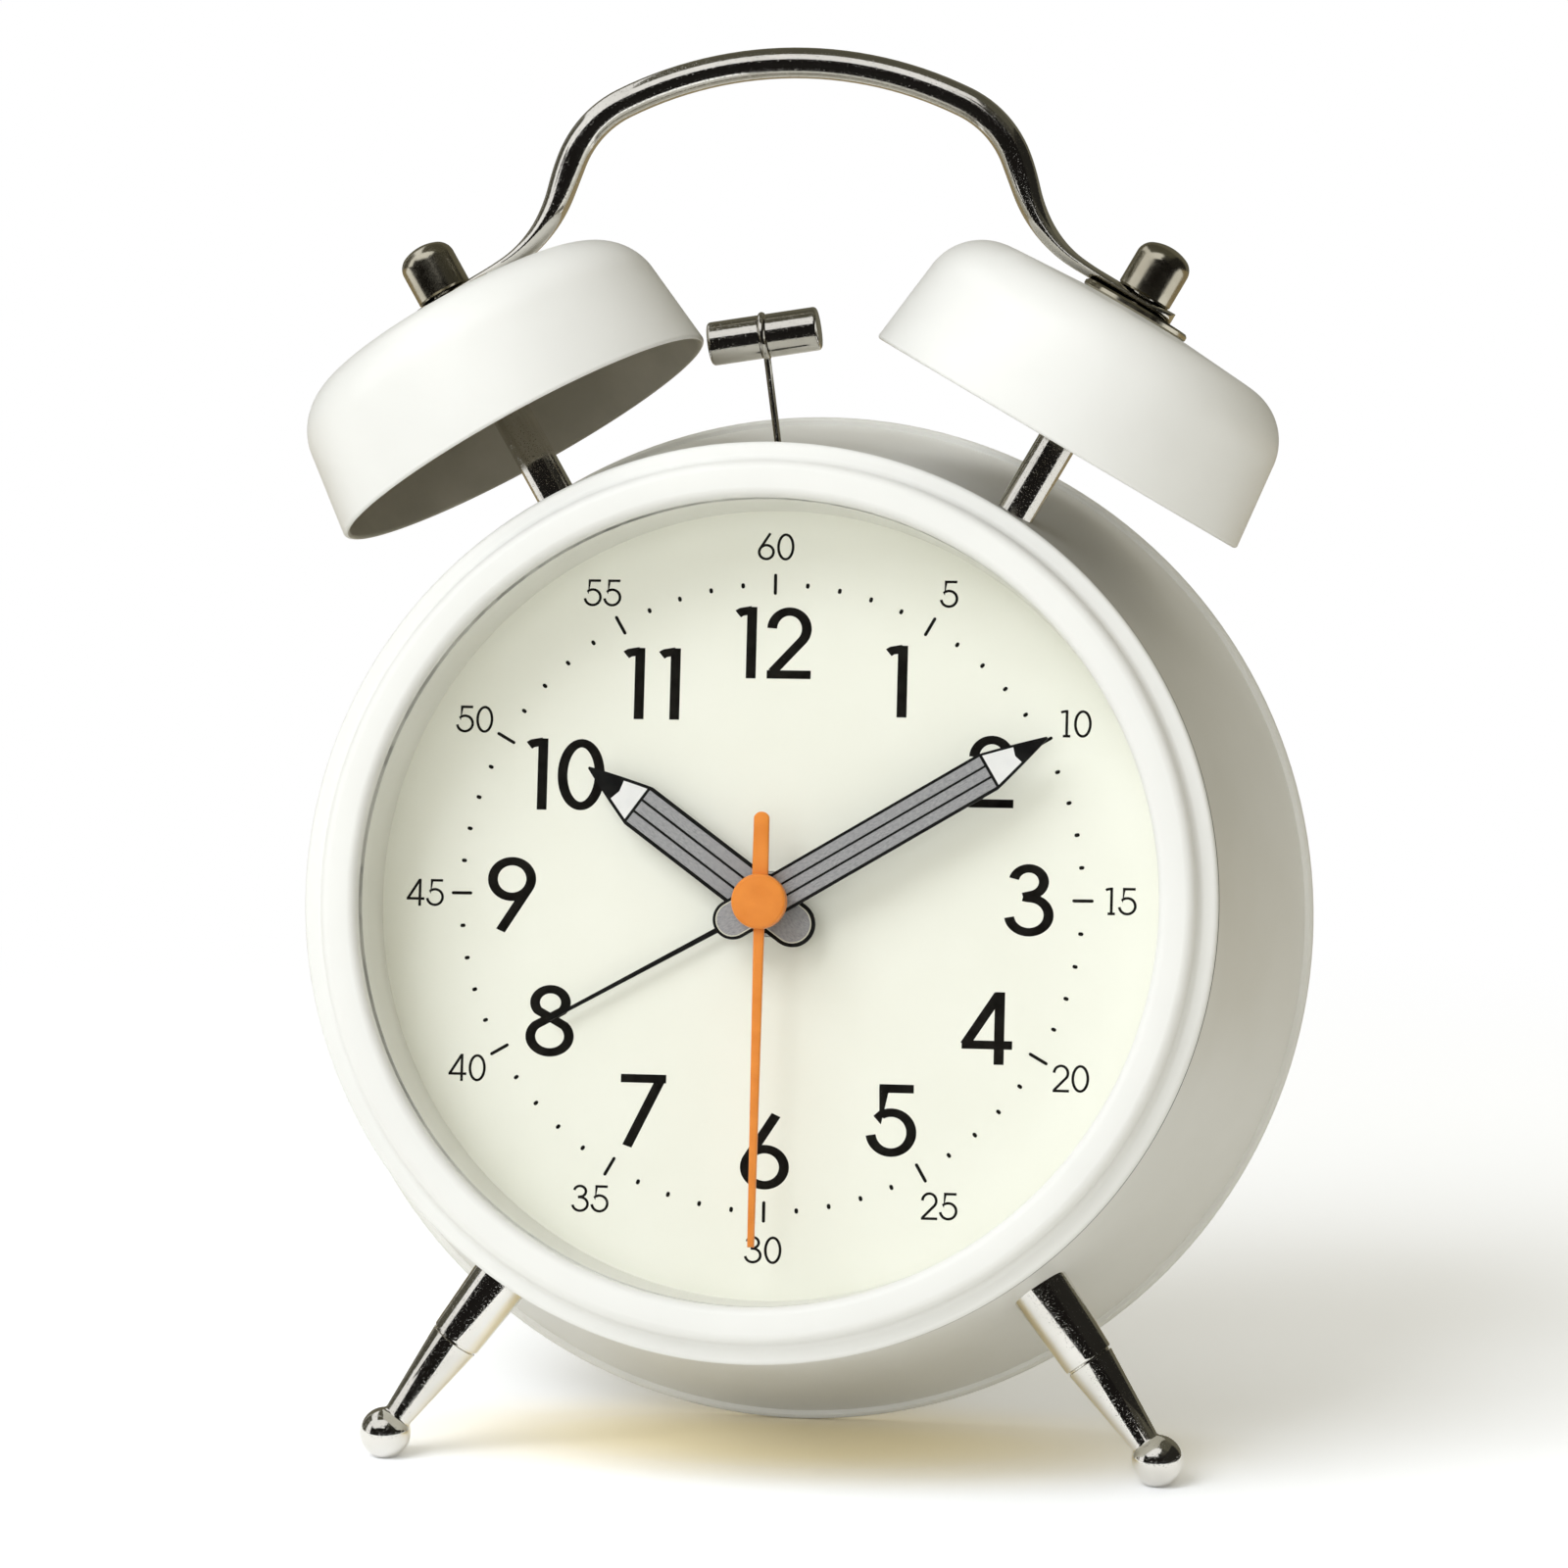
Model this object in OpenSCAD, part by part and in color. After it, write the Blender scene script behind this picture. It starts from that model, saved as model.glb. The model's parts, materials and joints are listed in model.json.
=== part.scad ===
// Twin bell alarm clock with a quartz movement, a striking hammer and a carrying handle.
// Clock frame: x to the right, y up the dial, z out of the dial, with the dial's face at z = 0.
// The whole clock then leans back until both ball feet and the rear rim touch the floor.

/* [Case] */
// Diameter over the rolled rear rim
rim_d = 119.4; // [114:0.2:126]
// Diameter of the case at its front edge
front_d = 101.8; // [100:0.2:106]
// Spare depth between the movement and the battery tray
back_room = 0.2; // [0.2:0.1:6]
// How far the flared side curves in from a straight cone
side_curve = 1.9; // [0:0.1:2.2]
// Thickness of the sheet metal
case_wall = 1; // [0.8:0.1:1.4]
// Diameter of the roll along the rear edge
rim_roll_d = 1.8; // [1.6:0.1:2.4]
// Depth of the dial's face below the front edge
dial_depth = 9; // [8.6:0.1:12]

/* [Bezel and dial] */
// Diameter over the bezel's lip
bezel_d = 102.2; // [101.6:0.1:106]
// Diameter of the round opening
opening_d = 89.4; // [86:0.2:90]
// Radius of the bezel's rounded crown
crown_r = 2; // [1.6:0.1:2.2]
// Thickness of the lens
lens_t = 1.6; // [1:0.1:2.4]
// Thickness of the dial plate
dial_t = 0.6; // [0.4:0.1:1]
// Thickness of the ring that carries the dial
shelf_t = 1.4; // [1:0.1:1.6]

/* [Bells] */
// Diameter of a bell's rim
bell_d = 47.2; // [42:0.2:48]
// Height of a bell
bell_h = 17; // [14:0.5:20]
// Radius of the bell's rounded shoulder
bell_shoulder_r = 7; // [4:0.5:9]
// How much wider the rim is than the shoulder, on each side
bell_flare = 1.1; // [0.2:0.1:2]
// Thickness of a bell's wall
bell_wall = 0.8; // [0.5:0.1:1.2]
// Distance of a bell's rim from the clock's axis
bell_reach = 61.4; // [60:0.2:66]
// Angle of each bell from upright
bell_tilt = 30; // [29:0.5:33]
// Lean of the bells and the handle towards the front
bell_lean = 4.5; // [3:0.5:6]
// Plane of the hammer and the bells' rims, behind the dial's face
bell_back = 6; // [6:0.2:7]
// Diameter of a bell post
post_d = 4.5; // [4:0.1:6]
// Diameter of the cap nuts
cap_d = 6.2; // [5.4:0.1:7]
// Height of the cap nuts
cap_h = 6; // [5:0.1:8]
// Diameter of the washer on each bell
washer_d = 13.2; // [10:0.2:16]

/* [Handle] */
// Diameter of the handle's rod
rod_d = 3.5; // [3:0.1:4.2]
// Height of the rod's centre line above the clock's axis, at the top
handle_top = 96.4; // [94:0.1:106]
// Radius of the wide top arch
arch_r = 45; // [42:0.5:50]
// Angle of half the top arch
arch_a = 26; // [22:0.5:28]
// Radius of the tight shoulder
shoulder_r = 12; // [10:0.5:14]
// Slope of the straight legs
leg_slope = 69; // [64:0.5:74]
// Radius of the bend above each bell
foot_bend_r = 7; // [5:0.5:9]
// Thickness of the flattened end
tab_t = 1.4; // [1.2:0.1:1.6]

/* [Legs] */
// Angle of each leg from upright
leg_tilt = 35.9; // [32:0.1:40]
// Plane of the legs, behind the dial's face
leg_back = 9; // [8:0.5:11]
// Distance of a ball's centre from the clock's axis
leg_reach = 75.7; // [73:0.1:82]
// Diameter of a ball foot
ball_d = 5.9; // [5:0.1:7]
// Depth of the small flat under each ball
foot_flat = 0.15; // [0.1:0.05:0.3]
// Diameter of the sleeve at the case
sleeve_d = 6.6; // [6:0.1:7.4]
// Diameter of the sleeve at its groove
sleeve_end_d = 5.8; // [5:0.1:6]
// Distance of the groove from the clock's axis
groove_reach = 62.4; // [60:0.1:66]
// Diameter of the neck above the ball
neck_d = 3.3; // [2.6:0.1:4]

/* [Hammer] */
// Length of the hammer's head
head_l = 12.8; // [10:0.2:13]
// Diameter of the hammer's head
head_d = 5; // [4:0.1:6]
// Height of the head's centre above the inner edge of the bells' rims
head_rise = 0.7; // [0:0.1:2]
// Distance of the head from the left bell at rest
strike_gap = 0.8; // [0.5:0.05:1]
// Height of the pivot above the clock's axis
pivot_y = 37; // [36.5:0.1:38]
// Offset of the pivot to the right
pivot_x = 1.2; // [0.8:0.1:1.6]
// Diameter of the hammer's wire
wire_d = 0.8; // [0.6:0.05:1.2]
// Throw of the motor's crank pin
crank_throw = 1; // [0.7:0.05:1.1]

/* [Hands] */
// Length of the second hand
second_l = 38.3; // [30:0.1:42]
// Length of the minute hand
minute_l = 36.7; // [30:0.1:42]
// Length of the hour hand
hour_l = 25.3; // [20:0.1:32]
// Length of the alarm hand
alarm_l = 28; // [20:0.1:36]
// Width of the minute hand
minute_w = 4.5; // [3:0.1:5.4]
// Width of the hour hand
hour_w = 5.2; // [3.4:0.1:5.8]
// Place of the second hand, clockwise from twelve
second_at = 180; // [0:1:359]
// Place of the minute hand
minute_at = 59; // [0:1:359]
// Place of the hour hand
hour_at = 306; // [0:1:359]
// Place of the alarm hand
alarm_at = 241; // [0:1:359]

/* [Back] */
// Diameter of the two setting knobs
knob_d = 13; // [10:0.5:16]
// Length of the two setting knobs
knob_l = 6.4; // [5:0.2:8]
// Thickness of the back cover
cover_t = 1.8; // [1.4:0.1:2.2]
// Diameter of one cell
cell_d = 14.3; // [14:0.1:14.5]
// Length of one cell with its nub
cell_l = 50.2; // [49.5:0.1:50.5]
// Travel of the alarm switch
switch_travel = 4; // [2:0.5:5]

/* [Hidden] */
$fn = 64;
// Clearance of fixed pieces that slip together
fit_gap = 0.1;
// Radial clearance of a running shaft
run_gap = 0.1;
// Clearance between the outsides of pieces that move past each other
move_gap = 0.3;
// Clearance of pressed pins and bores
press_gap = 0.02;
// Clearance of a piece shaped to the case, and of a leaf in its slot
slip = 0.05;
// Axial play of the wheels
play = 0.2;
// How far a cut runs past the piece that it goes through
past = 1;
// Dark line between bezel and case
seam = 0.15;
// Overlap that joins two forms of one piece
weld = 0.3;

function arc(c, r, a0, a1, n) = [for (i = [0:n]) let (a = a0 + (a1 - a0) * i / n) c + r * [cos(a), sin(a)]];
function turn(v, a) = [v[0] * cos(a) - v[1] * sin(a), v[0] * sin(a) + v[1] * cos(a)];
function heading(a) = [cos(a), sin(a)];

// Layers of the movement behind the dial, each as the height of its rear face
box_wall = 1.2;
box_front = 1.4;
wheel_t = 0.8;
layer = 1.4;
pinion_t = 1.2;
box_in = -dial_t - box_front;
z_alarm = box_in - 2 * play - wheel_t;
z_hour = z_alarm - layer;
z_motion = z_hour - layer;
z_centre = z_motion - layer - play;
z_third = z_centre - layer - play;
z_second = z_third - layer - play;
z_step = z_second - layer - play;
rotor_room = 2.6;
box_rear = z_step - rotor_room;
cover_z = box_rear - box_wall;

// Depth of the case: movement, battery tray, cells and recessed back cover
tray_front_t = 0.8;
tray_room = 0.3;
cover_recess = 1.2;
door_t = cover_t / 2;
tray_z = cover_z - back_room - tray_front_t;
cell_z = tray_z - tray_room - cell_d / 2;
cover_rear = cell_z - cell_d / 2 - fit_gap - door_t;
cover_front = cover_rear + cover_t;
rear_z = cover_rear - cover_recess;
case_depth = dial_depth - rear_z;

// Case side, as radius against height on the clock's axis
roll_r = rim_roll_d / 2;
roll_c = [rim_d / 2 - roll_r, rear_z + roll_r];
rear_r = roll_c[0] + case_wall / 2;
front_r = front_d / 2;
side_steps = 10;
roll_lap = 0.8 * roll_r;
function side_t(z) = (dial_depth - z) / case_depth;
function side_r(z) = front_r + (rear_r - front_r) * side_t(z) - side_curve * 4 * side_t(z) * (1 - side_t(z));
side_z = [for (i = [0:side_steps]) dial_depth + (roll_c[1] + roll_lap - dial_depth) * i / side_steps];
outer_side = [for (z = side_z) [side_r(z), z]];
inner_side = [for (i = [side_steps:-1:0]) [side_r(side_z[i]) - case_wall, side_z[i]]];
drum_pts = concat(outer_side, arc(roll_c, roll_r, 60, -240, 24), inner_side);

// Bezel, lens and dial stack
lens_rise = 0.4;
surround_h = dial_depth + lens_rise;
lens_z = surround_h + lens_t;
crown_rise = 0.1;
crown_z = lens_z + crown_r + crown_rise;
opening_r = opening_d / 2;
bezel_r = bezel_d / 2;
skirt_r = front_r - case_wall - move_gap;
skirt_wall = 0.9;
skirt_in = skirt_r - skirt_wall;
stack_r = skirt_in - fit_gap;
skirt_z = 3;
lip_round = 0.7;
cove_r = 1.75;
cove_out = 1.6;
cove_up = 1.1;
cove_c = [opening_r + 2 * crown_r + cove_out, crown_z - crown_r + cove_up];
lip_chamfer = 0.3;
bezel_pts = concat(
    [[opening_r, lens_z]],
    arc([opening_r + crown_r, crown_z - crown_r], crown_r, 180, 20, 12),
    arc(cove_c, cove_r, 195, 270, 6),
    arc([bezel_r - lip_round, cove_c[1] - cove_r - lip_round], lip_round, 90, 0, 4),
    [[bezel_r, dial_depth + seam + lip_chamfer], [bezel_r - lip_chamfer, dial_depth + seam],
     [skirt_r, dial_depth + seam], [skirt_r, skirt_z], [skirt_in, skirt_z], [skirt_in, lens_z]]);
surround_draft = 0.2;
shelf_step = 0.3;
shelf_in = opening_r + shelf_step;
shelf_z = -dial_t - shelf_t;

// Lean and height that put the ball feet and the rear rim on the floor
ball_low = ball_d / 2 - foot_flat;
ball_y = -leg_reach * cos(leg_tilt);
reach_y = ball_y + roll_c[0];
reach_z = -leg_back - roll_c[1];
lean = asin((ball_low - roll_r) / norm([reach_y, reach_z])) - atan2(reach_y, reach_z);
axis_z = ball_low - ball_y * cos(lean) + leg_back * sin(lean);
front_reach = max([for (p = bezel_pts) p[0] * sin(lean) + p[1] * cos(lean)]);
rear_reach = max([for (p = drum_pts) p[0] * sin(lean) - p[1] * cos(lean)]);
axis_y = (front_reach - rear_reach) / 2;

// Bosses inside the case for posts and legs, and the groove round each leg
groove_w = 0.4;
groove_deep = 0.35;
boss_d = 9;
boss_l = 2;
boss_in = side_r(-bell_back) - case_wall - boss_l;
stud_d = 3.4;
nut_w = 6.4;
nut_t = 2.6;
stud_in = boss_in - nut_t - 1;

// Bells, from rim to top along their axis
bell_r = bell_d / 2;
bell_top = bell_reach + bell_h;
neck_r = bell_r - bell_flare;
flat_margin = 1;
bell_flat_r = washer_d / 2 + flat_margin;
top_drop = 0.6;
function bell_line(w) = concat(
    [[bell_r - w, bell_reach]],
    arc([neck_r - bell_shoulder_r, bell_top - top_drop - bell_shoulder_r], bell_shoulder_r - w, 4, 86, 10),
    [[bell_flat_r, bell_top - w]]);
bell_out = bell_line(0);
bell_in = bell_line(bell_wall);
bell_pts = concat(
    [[0, bell_top]],
    [for (i = [len(bell_out) - 1:-1:0]) bell_out[i]],
    bell_in,
    [[0, bell_top - bell_wall]]);
washer_t = 0.9;
tab_z = bell_top + washer_t;
cap_z = tab_z + tab_t;
cap_round = 2.4;
cap_top_t = 2;

// Handle path: arch, shoulder, leg and foot bend, in the plane of the bells
arch_end = [arch_r * sin(arch_a), handle_top - arch_r * (1 - cos(arch_a))];
shoulder_c = arch_end - shoulder_r * [sin(arch_a), cos(arch_a)];
leg_start = shoulder_c + shoulder_r * [sin(leg_slope), cos(leg_slope)];
rod_rest = tab_z + rod_d / 2 + fit_gap;
bell_dir = [sin(bell_tilt), cos(bell_tilt)];
foot_shift = foot_bend_r * ([sin(leg_slope), cos(leg_slope)] - bell_dir);
leg_drop = (leg_start + foot_shift) * bell_dir - rod_rest;
leg_l = leg_drop / (-(heading(-leg_slope) * bell_dir));
leg_end = leg_start + leg_l * heading(-leg_slope);
foot_c = leg_end + foot_bend_r * [sin(leg_slope), cos(leg_slope)];
foot_end = foot_c - foot_bend_r * bell_dir;
foot_side = foot_end * heading(-bell_tilt);
tab_w = 6;
tab_over = 4.2;
tab_lap = 0.6;
rod_sides = 16;
function after_first(v) = [for (i = [1:len(v) - 1]) v[i]];
half_path = concat(
    arc([0, handle_top - arch_r], arch_r, 90, 90 - arch_a, 7),
    after_first(arc(shoulder_c, shoulder_r, 90 - arch_a, 90 - leg_slope, 6)),
    arc(foot_c, foot_bend_r, 270 - leg_slope, 270 - bell_tilt, 5));
rod_path = concat([for (i = [len(half_path) - 1:-1:1]) [-half_path[i][0], half_path[i][1]]], half_path);

// Hammer drive
hammer_z = -bell_back;
pivot = [pivot_x, pivot_y];
rim_mid = bell_reach * bell_dir;
rim_tip = rim_mid + bell_r * [-cos(bell_tilt), sin(bell_tilt) * cos(bell_lean)];
hammer_reach = rim_tip[1] + head_rise - pivot_y;
head_half = head_l / 2;
strike_x = pivot_x + rim_tip[0] - strike_gap;
hammer_lean = asin(strike_x / norm([hammer_reach, head_half])) - atan2(head_half, hammer_reach);
lever_t = 1.6;
lever_arm = 8;
lever_top = 9;
lever_hub_r = 3;
lever_half = 1.6;
lever_neck = 2;
window_rim = 1.2;
socket_l = 4;
pin_d = 1.5;
pin_end = 0.1;
pin_seat = 1;
clip_w = 0.8;
clip_t = 0.6;
crank_pin_d = 1;
swing_room = 1;
window_w = 2 * (crank_throw + swing_room + move_gap) + crank_pin_d;
window_h = 2 * (crank_throw + 2 * move_gap) + crank_pin_d;
crank_side = 0.3;
crank_at = pivot + [crank_side, -lever_arm];
crank_rim = 0.7;
crank_disc_d = 2 * (crank_throw + crank_rim) + crank_pin_d;
crank_t = 1;
crank_z = hammer_z - lever_t / 2 - move_gap - crank_t;
plate_t = 1.2;
plate_z = crank_z - move_gap - plate_t;
motor_d = 16;
motor_l = 15;
nose_r = 2.2;
shaft_d = 1.2;
shaft_in = 7;
stand_at = [14, 45.6];
plate_half = 13;
plate_gap = 1;
plate_rise = 5;
plate_mid = crank_at[1] + plate_rise;
stand_d = 5;
plate_rim = 0.5;
plate_x = stand_at[0] + stand_d / 2 + plate_rim;
plate_top = stand_at[1] + stand_d / 2;
screw_d = 2.2;
screw_head_d = 4.2;
screw_head_t = 1.1;
slot_w = 8;
slot_h = 2.6;
slot_l = 12;
head_chamfer = 0.4;
ring_r = head_d / 2 - fit_gap;

// Movement: box, layers and wheel places
box_x = 25;
box_low = -17;
box_high = 20;
plate_low = box_high + plate_gap;
pin_r = 0.5;
collar_r = 1;
bush_r = 3.6;
pipe_wall = 0.55;
second_r = 0.5;
minute_in = second_r + run_gap;
minute_r = minute_in + pipe_wall;
hour_in = minute_r + run_gap;
hour_r = hour_in + pipe_wall;
alarm_in = hour_r + run_gap;
alarm_r = alarm_in + pipe_wall;
hand_t = 0.5;
alarm_hand_z = 1.2;
hour_hand_z = alarm_hand_z + 1.7;
minute_hand_z = hour_hand_z + 1.8;
second_hand_z = minute_hand_z + 2.2;
second_hub_h = 1.4;
second_seat = 1;

// Gear sizes: modules and tooth counts
fine_m = 0.3;
mid_m = 0.35;
coarse_m = 0.5;
addendum = 0.75;
dedendum = 1.1;
root_share = 0.23;
tip_share = 0.11;
leaf = 8;
step_teeth = 48;
second_teeth = 40;
third_teeth = 64;
centre_teeth = 60;
cannon_teeth = 10;
motion_teeth = 30;
hour_teeth = 32;
alarm_teeth = 32;
alarm_set_teeth = 24;
time_set_teeth = 16;
centre_m = fine_m * (leaf + third_teeth) / (leaf + centre_teeth);
function spacing(m, n1, n2) = m * (n1 + n2) / 2;
// Length of a pinion that runs from its own wheel's layer to the next one
function pinion_l(from, to) = to + pinion_t - play - from - wheel_t;
// Angle that puts a gap of the second wheel on a tooth of the first
function mesh(dir, n1, a1, n2) = dir + 180 - (180 - n1 * (dir - a1)) / n2;

step_dir = 180;
rotor_dir = 215;
third_dir = -20;
motion_dir = 90;
alarm_dir = 135;
time_dir = 0;
step_at = spacing(mid_m, leaf, second_teeth) * heading(step_dir);
rotor_at = step_at + spacing(fine_m, leaf, step_teeth) * heading(rotor_dir);
third_at = spacing(fine_m, leaf, third_teeth) * heading(third_dir);
motion_at = spacing(coarse_m, cannon_teeth, motion_teeth) * heading(motion_dir);
alarm_set_at = spacing(coarse_m, alarm_teeth, alarm_set_teeth) * heading(alarm_dir);
time_set_at = motion_at + spacing(coarse_m, motion_teeth, time_set_teeth) * heading(time_dir);
step_pinion_a = mesh(step_dir, second_teeth, 0, leaf);
step_wheel_a = 0;
rotor_a = mesh(rotor_dir, step_teeth, step_wheel_a, leaf);
third_wheel_a = mesh(third_dir, leaf, 0, third_teeth);
third_pinion_a = 0;
centre_a = mesh(third_dir + 180, leaf, third_pinion_a, centre_teeth);
motion_wheel_a = mesh(motion_dir, cannon_teeth, 0, motion_teeth);
motion_pinion_a = 0;
hour_a = mesh(motion_dir + 180, leaf, motion_pinion_a, hour_teeth);
alarm_set_a = mesh(alarm_dir, alarm_teeth, 0, alarm_set_teeth);
time_set_a = mesh(time_dir, motion_teeth, motion_wheel_a, time_set_teeth);
rotor_r = 2.2;
shaft_r = 1;
set_pin_l = 0.9;
knob_end = 2;
knob_foot = 1.2;
knob_step = 1.4;
ear_reach = 49.5;
ear_w = 8;
ear_at = 47.4;
ear_t = 1.6;
bush_proud = 0.7;
boss_inset = 2.7;
boss_x = box_x - boss_inset;
boss_y = box_high - boss_inset;
boss_low_y = -7;
box_screws = [[-boss_x, boss_y], [boss_x, boss_y], [boss_x, boss_low_y]];
box_screw_d = 1.6;
box_screw_l = 6;
box_head_d = 3.2;
box_head_t = 0.8;
box_boss_d = 4.4;
hub_r = 1.6;
hub_t = 0.3;
rotor_t = 1.6;
rotor_gap = 0.3;

// Back cover, battery tray and switch
cover_r = side_r(cover_front) - case_wall - move_gap;
tray_wall = 1.2;
cell_gap = 1;
cell_pitch = cell_d + cell_gap;
tray_top = -10.3;
tray_h = cell_pitch + cell_d + 2 * tray_room;
tray_low = tray_top - tray_h;
contact_t = 0.4;
contact_room = 2.8;
tray_x = cell_l / 2 + contact_room + contact_t;
cell_y = [tray_top - tray_room - cell_d / 2, tray_top - tray_room - cell_d / 2 - cell_pitch];
nub_d = 5.4;
nub_l = 1.6;
leaf_half = 4;
leaf_deep = 8;
leaf_t = 0.5;
leaf_root = 0.8;
leaf_wide = 4;
contact_end = 0.5;
contact_tab_w = 3;
contact_tab_l = 2;
door_edge = 2.4;
grip_count = 5;
grip_pitch = 2;
grip_w = 1;
grip_l = 6;
grip_deep = 0.4;
grip_at = tray_top - 7;
lug_d = 6.4;
lug_l = 9;
lug_lap = 0.8;
lug_end = 1;
lug_reach = side_r(cover_front + lug_l) - case_wall - lug_d / 2 + lug_lap;
lug_dirs = [90, 210, 330];
switch_at = [31, 9.9];
switch_neck = [3, 2.8];
switch_thumb = [6, 5];
switch_foot = [8, 5.6];
switch_foot_t = 1;
switch_thumb_h = 1.5;
lead_d = 1;
lead_rise = 3;
lead_inset = 3;
lead_back = 3;
motor_lead_half = 3;
motor_lead_low = 2;
motor_lead_out = 1.6;
bead = 1.1;

// Frames
module clock_frame() translate([0, axis_y, axis_z]) rotate([90 - lean, 0, 0]) children();
module at(p, z = 0) translate([p[0], p[1], z]) children();
module both() {
    children();
    mirror([1, 0, 0]) children();
}
module top_frame() translate([0, rim_mid[1], -bell_back]) rotate([bell_lean, 0, 0])
    translate([0, -rim_mid[1], 0]) children();
module from_top_frame() translate([0, rim_mid[1], 0]) rotate([-bell_lean, 0, 0])
    translate([0, -rim_mid[1], bell_back]) children();
module bell_frame() top_frame() rotate([0, 0, -bell_tilt]) rotate([-90, 0, 0]) children();
module leg_frame() translate([0, 0, -leg_back]) rotate([0, 0, leg_tilt]) rotate([90, 0, 0]) children();
module hammer_frame() translate([pivot[0], pivot[1], hammer_z]) rotate([0, 0, hammer_lean]) children();
module between(z0, z1) translate([0, 0, min(z0, z1)]) children();
module rod(r, z0, z1) between(z0, z1) cylinder(r = r, h = abs(z1 - z0));
module block(x0, x1, y0, y1, z0, z1) translate([x0, y0, z0]) cube([x1 - x0, y1 - y0, z1 - z0]);
module screw(d, l) {
    rod(d / 2, 0, l);
    rod(screw_head_d / 2, -screw_head_t, 0);
}

// Gear with straight-sided teeth, thin enough to keep its flanks apart
module gear(teeth, m, phase, z0, t) {
    root = m * (teeth / 2 - dedendum);
    tip = m * (teeth / 2 + addendum);
    edges = [[-root_share, root], [-tip_share, tip], [tip_share, tip], [root_share, root]];
    translate([0, 0, z0]) linear_extrude(t)
        polygon([for (i = [0:teeth - 1]) for (e = edges) e[1] * heading(phase + 360 * (i + e[0]) / teeth)]);
}

// Case
module case_solid(grow = 0) {
    rotate_extrude()
        polygon(concat([for (p = outer_side) p + [grow, 0]],
            [[rear_r + grow, rear_z], [0, rear_z], [0, dial_depth]]));
}

module case_drum() color("ivory") clock_frame() difference() {
    union() {
        rotate_extrude() polygon(drum_pts);
        rotate_extrude() polygon([
            [shelf_in, shelf_z], [side_r(shelf_z) - case_wall / 2, shelf_z],
            [side_r(-dial_t) - case_wall / 2, -dial_t], [shelf_in, -dial_t]]);
        intersection() {
            case_solid();
            union() {
                both() bell_frame() rod(boss_d / 2, boss_in, bell_reach);
                both() leg_frame() rod(boss_d / 2, boss_in, bell_reach);
                for (a = lug_dirs) at(lug_reach * heading(a))
                    rod(lug_d / 2, cover_front, cover_front + lug_l);
            }
        }
    }
    both() bell_frame() rod(stud_d / 2 + fit_gap, boss_in - past, bell_reach);
    both() leg_frame() rod(stud_d / 2 + fit_gap, boss_in - past, bell_reach);
    for (a = lug_dirs) at(lug_reach * heading(a))
        rod(screw_d / 2 + fit_gap, cover_front - past, cover_front + lug_l - lug_end);
    both() at(stand_at) rod(screw_d / 2 + fit_gap, shelf_z - past, 0);
    both() at([ear_at, 0]) rod(screw_d / 2 + fit_gap, shelf_z - past, 0);
    translate([-slot_w / 2, front_r - case_wall - past, hammer_z - slot_h / 2])
        cube([slot_w, slot_l, slot_h]);
}

module front_bezel() color("white") clock_frame() rotate_extrude() polygon(bezel_pts);

module lens() color("lightcyan", 0.3) clock_frame() rod(stack_r, surround_h, lens_z);

module dial_surround() color("whitesmoke") clock_frame()
    rotate_extrude() polygon([
        [opening_r - surround_draft, 0], [stack_r, 0], [stack_r, surround_h], [opening_r, surround_h]]);

module dial() color("beige") clock_frame() difference() {
    rod(stack_r, -dial_t, 0);
    rod(bush_r + fit_gap, -dial_t - past, past);
}

// Back
module back_cover() color("gainsboro") clock_frame() difference() {
    union() {
        rod(cover_r, cover_rear, cover_front);
        block(-tray_x - tray_wall, tray_x + tray_wall, tray_low - tray_wall, tray_top + tray_wall,
            cover_front - weld, tray_z + tray_front_t);
    }
    block(-tray_x, tray_x, tray_low, tray_top, cover_rear - past, tray_z);
    block(-tray_x - door_edge, tray_x + door_edge, tray_low - door_edge, tray_top + door_edge,
        cover_rear - past, cover_rear + door_t);
    for (a = lug_dirs) at(lug_reach * heading(a))
        rod(screw_d / 2 + fit_gap, cover_rear - past, cover_front + past);
    at(alarm_set_at) rod(shaft_r + move_gap, cover_rear - past, cover_front + past);
    at(time_set_at) rod(shaft_r + move_gap, cover_rear - past, cover_front + past);
    at(switch_at) block(-switch_neck[0] / 2 - move_gap, switch_neck[0] / 2 + switch_travel + move_gap,
        -switch_neck[1] / 2 - move_gap, switch_neck[1] / 2 + move_gap, cover_rear - past, cover_front + past);
    both() block(tray_x - contact_t, tray_x + slip, tray_top - past, tray_top + tray_wall + past,
        cell_z - contact_tab_w / 2 - fit_gap, cell_z + contact_tab_w / 2 + fit_gap);
}

module cover_screws() color("silver") clock_frame()
    for (a = lug_dirs) at(lug_reach * heading(a), cover_rear) screw(screw_d, cover_t + lug_l - 2 * lug_end);

module battery_door() color("lightgrey") clock_frame() difference() {
    block(-tray_x - door_edge + move_gap, tray_x + door_edge - move_gap, tray_low - door_edge + move_gap,
        tray_top + door_edge - move_gap, cover_rear, cover_rear + door_t);
    for (i = [0:grip_count - 1])
        translate([(i - (grip_count - 1) / 2) * grip_pitch - grip_w / 2, grip_at, cover_rear - past])
            cube([grip_w, grip_l, grip_deep + past]);
}

module batteries() color("dimgray") clock_frame() {
    for (i = [0, 1]) at([0, cell_y[i]], cell_z) rotate([0, i == 0 ? 90 : -90, 0]) {
        rod(cell_d / 2, -cell_l / 2, cell_l / 2 - nub_l);
        rod(nub_d / 2, cell_l / 2 - nub_l, cell_l / 2);
    }
}

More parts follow.
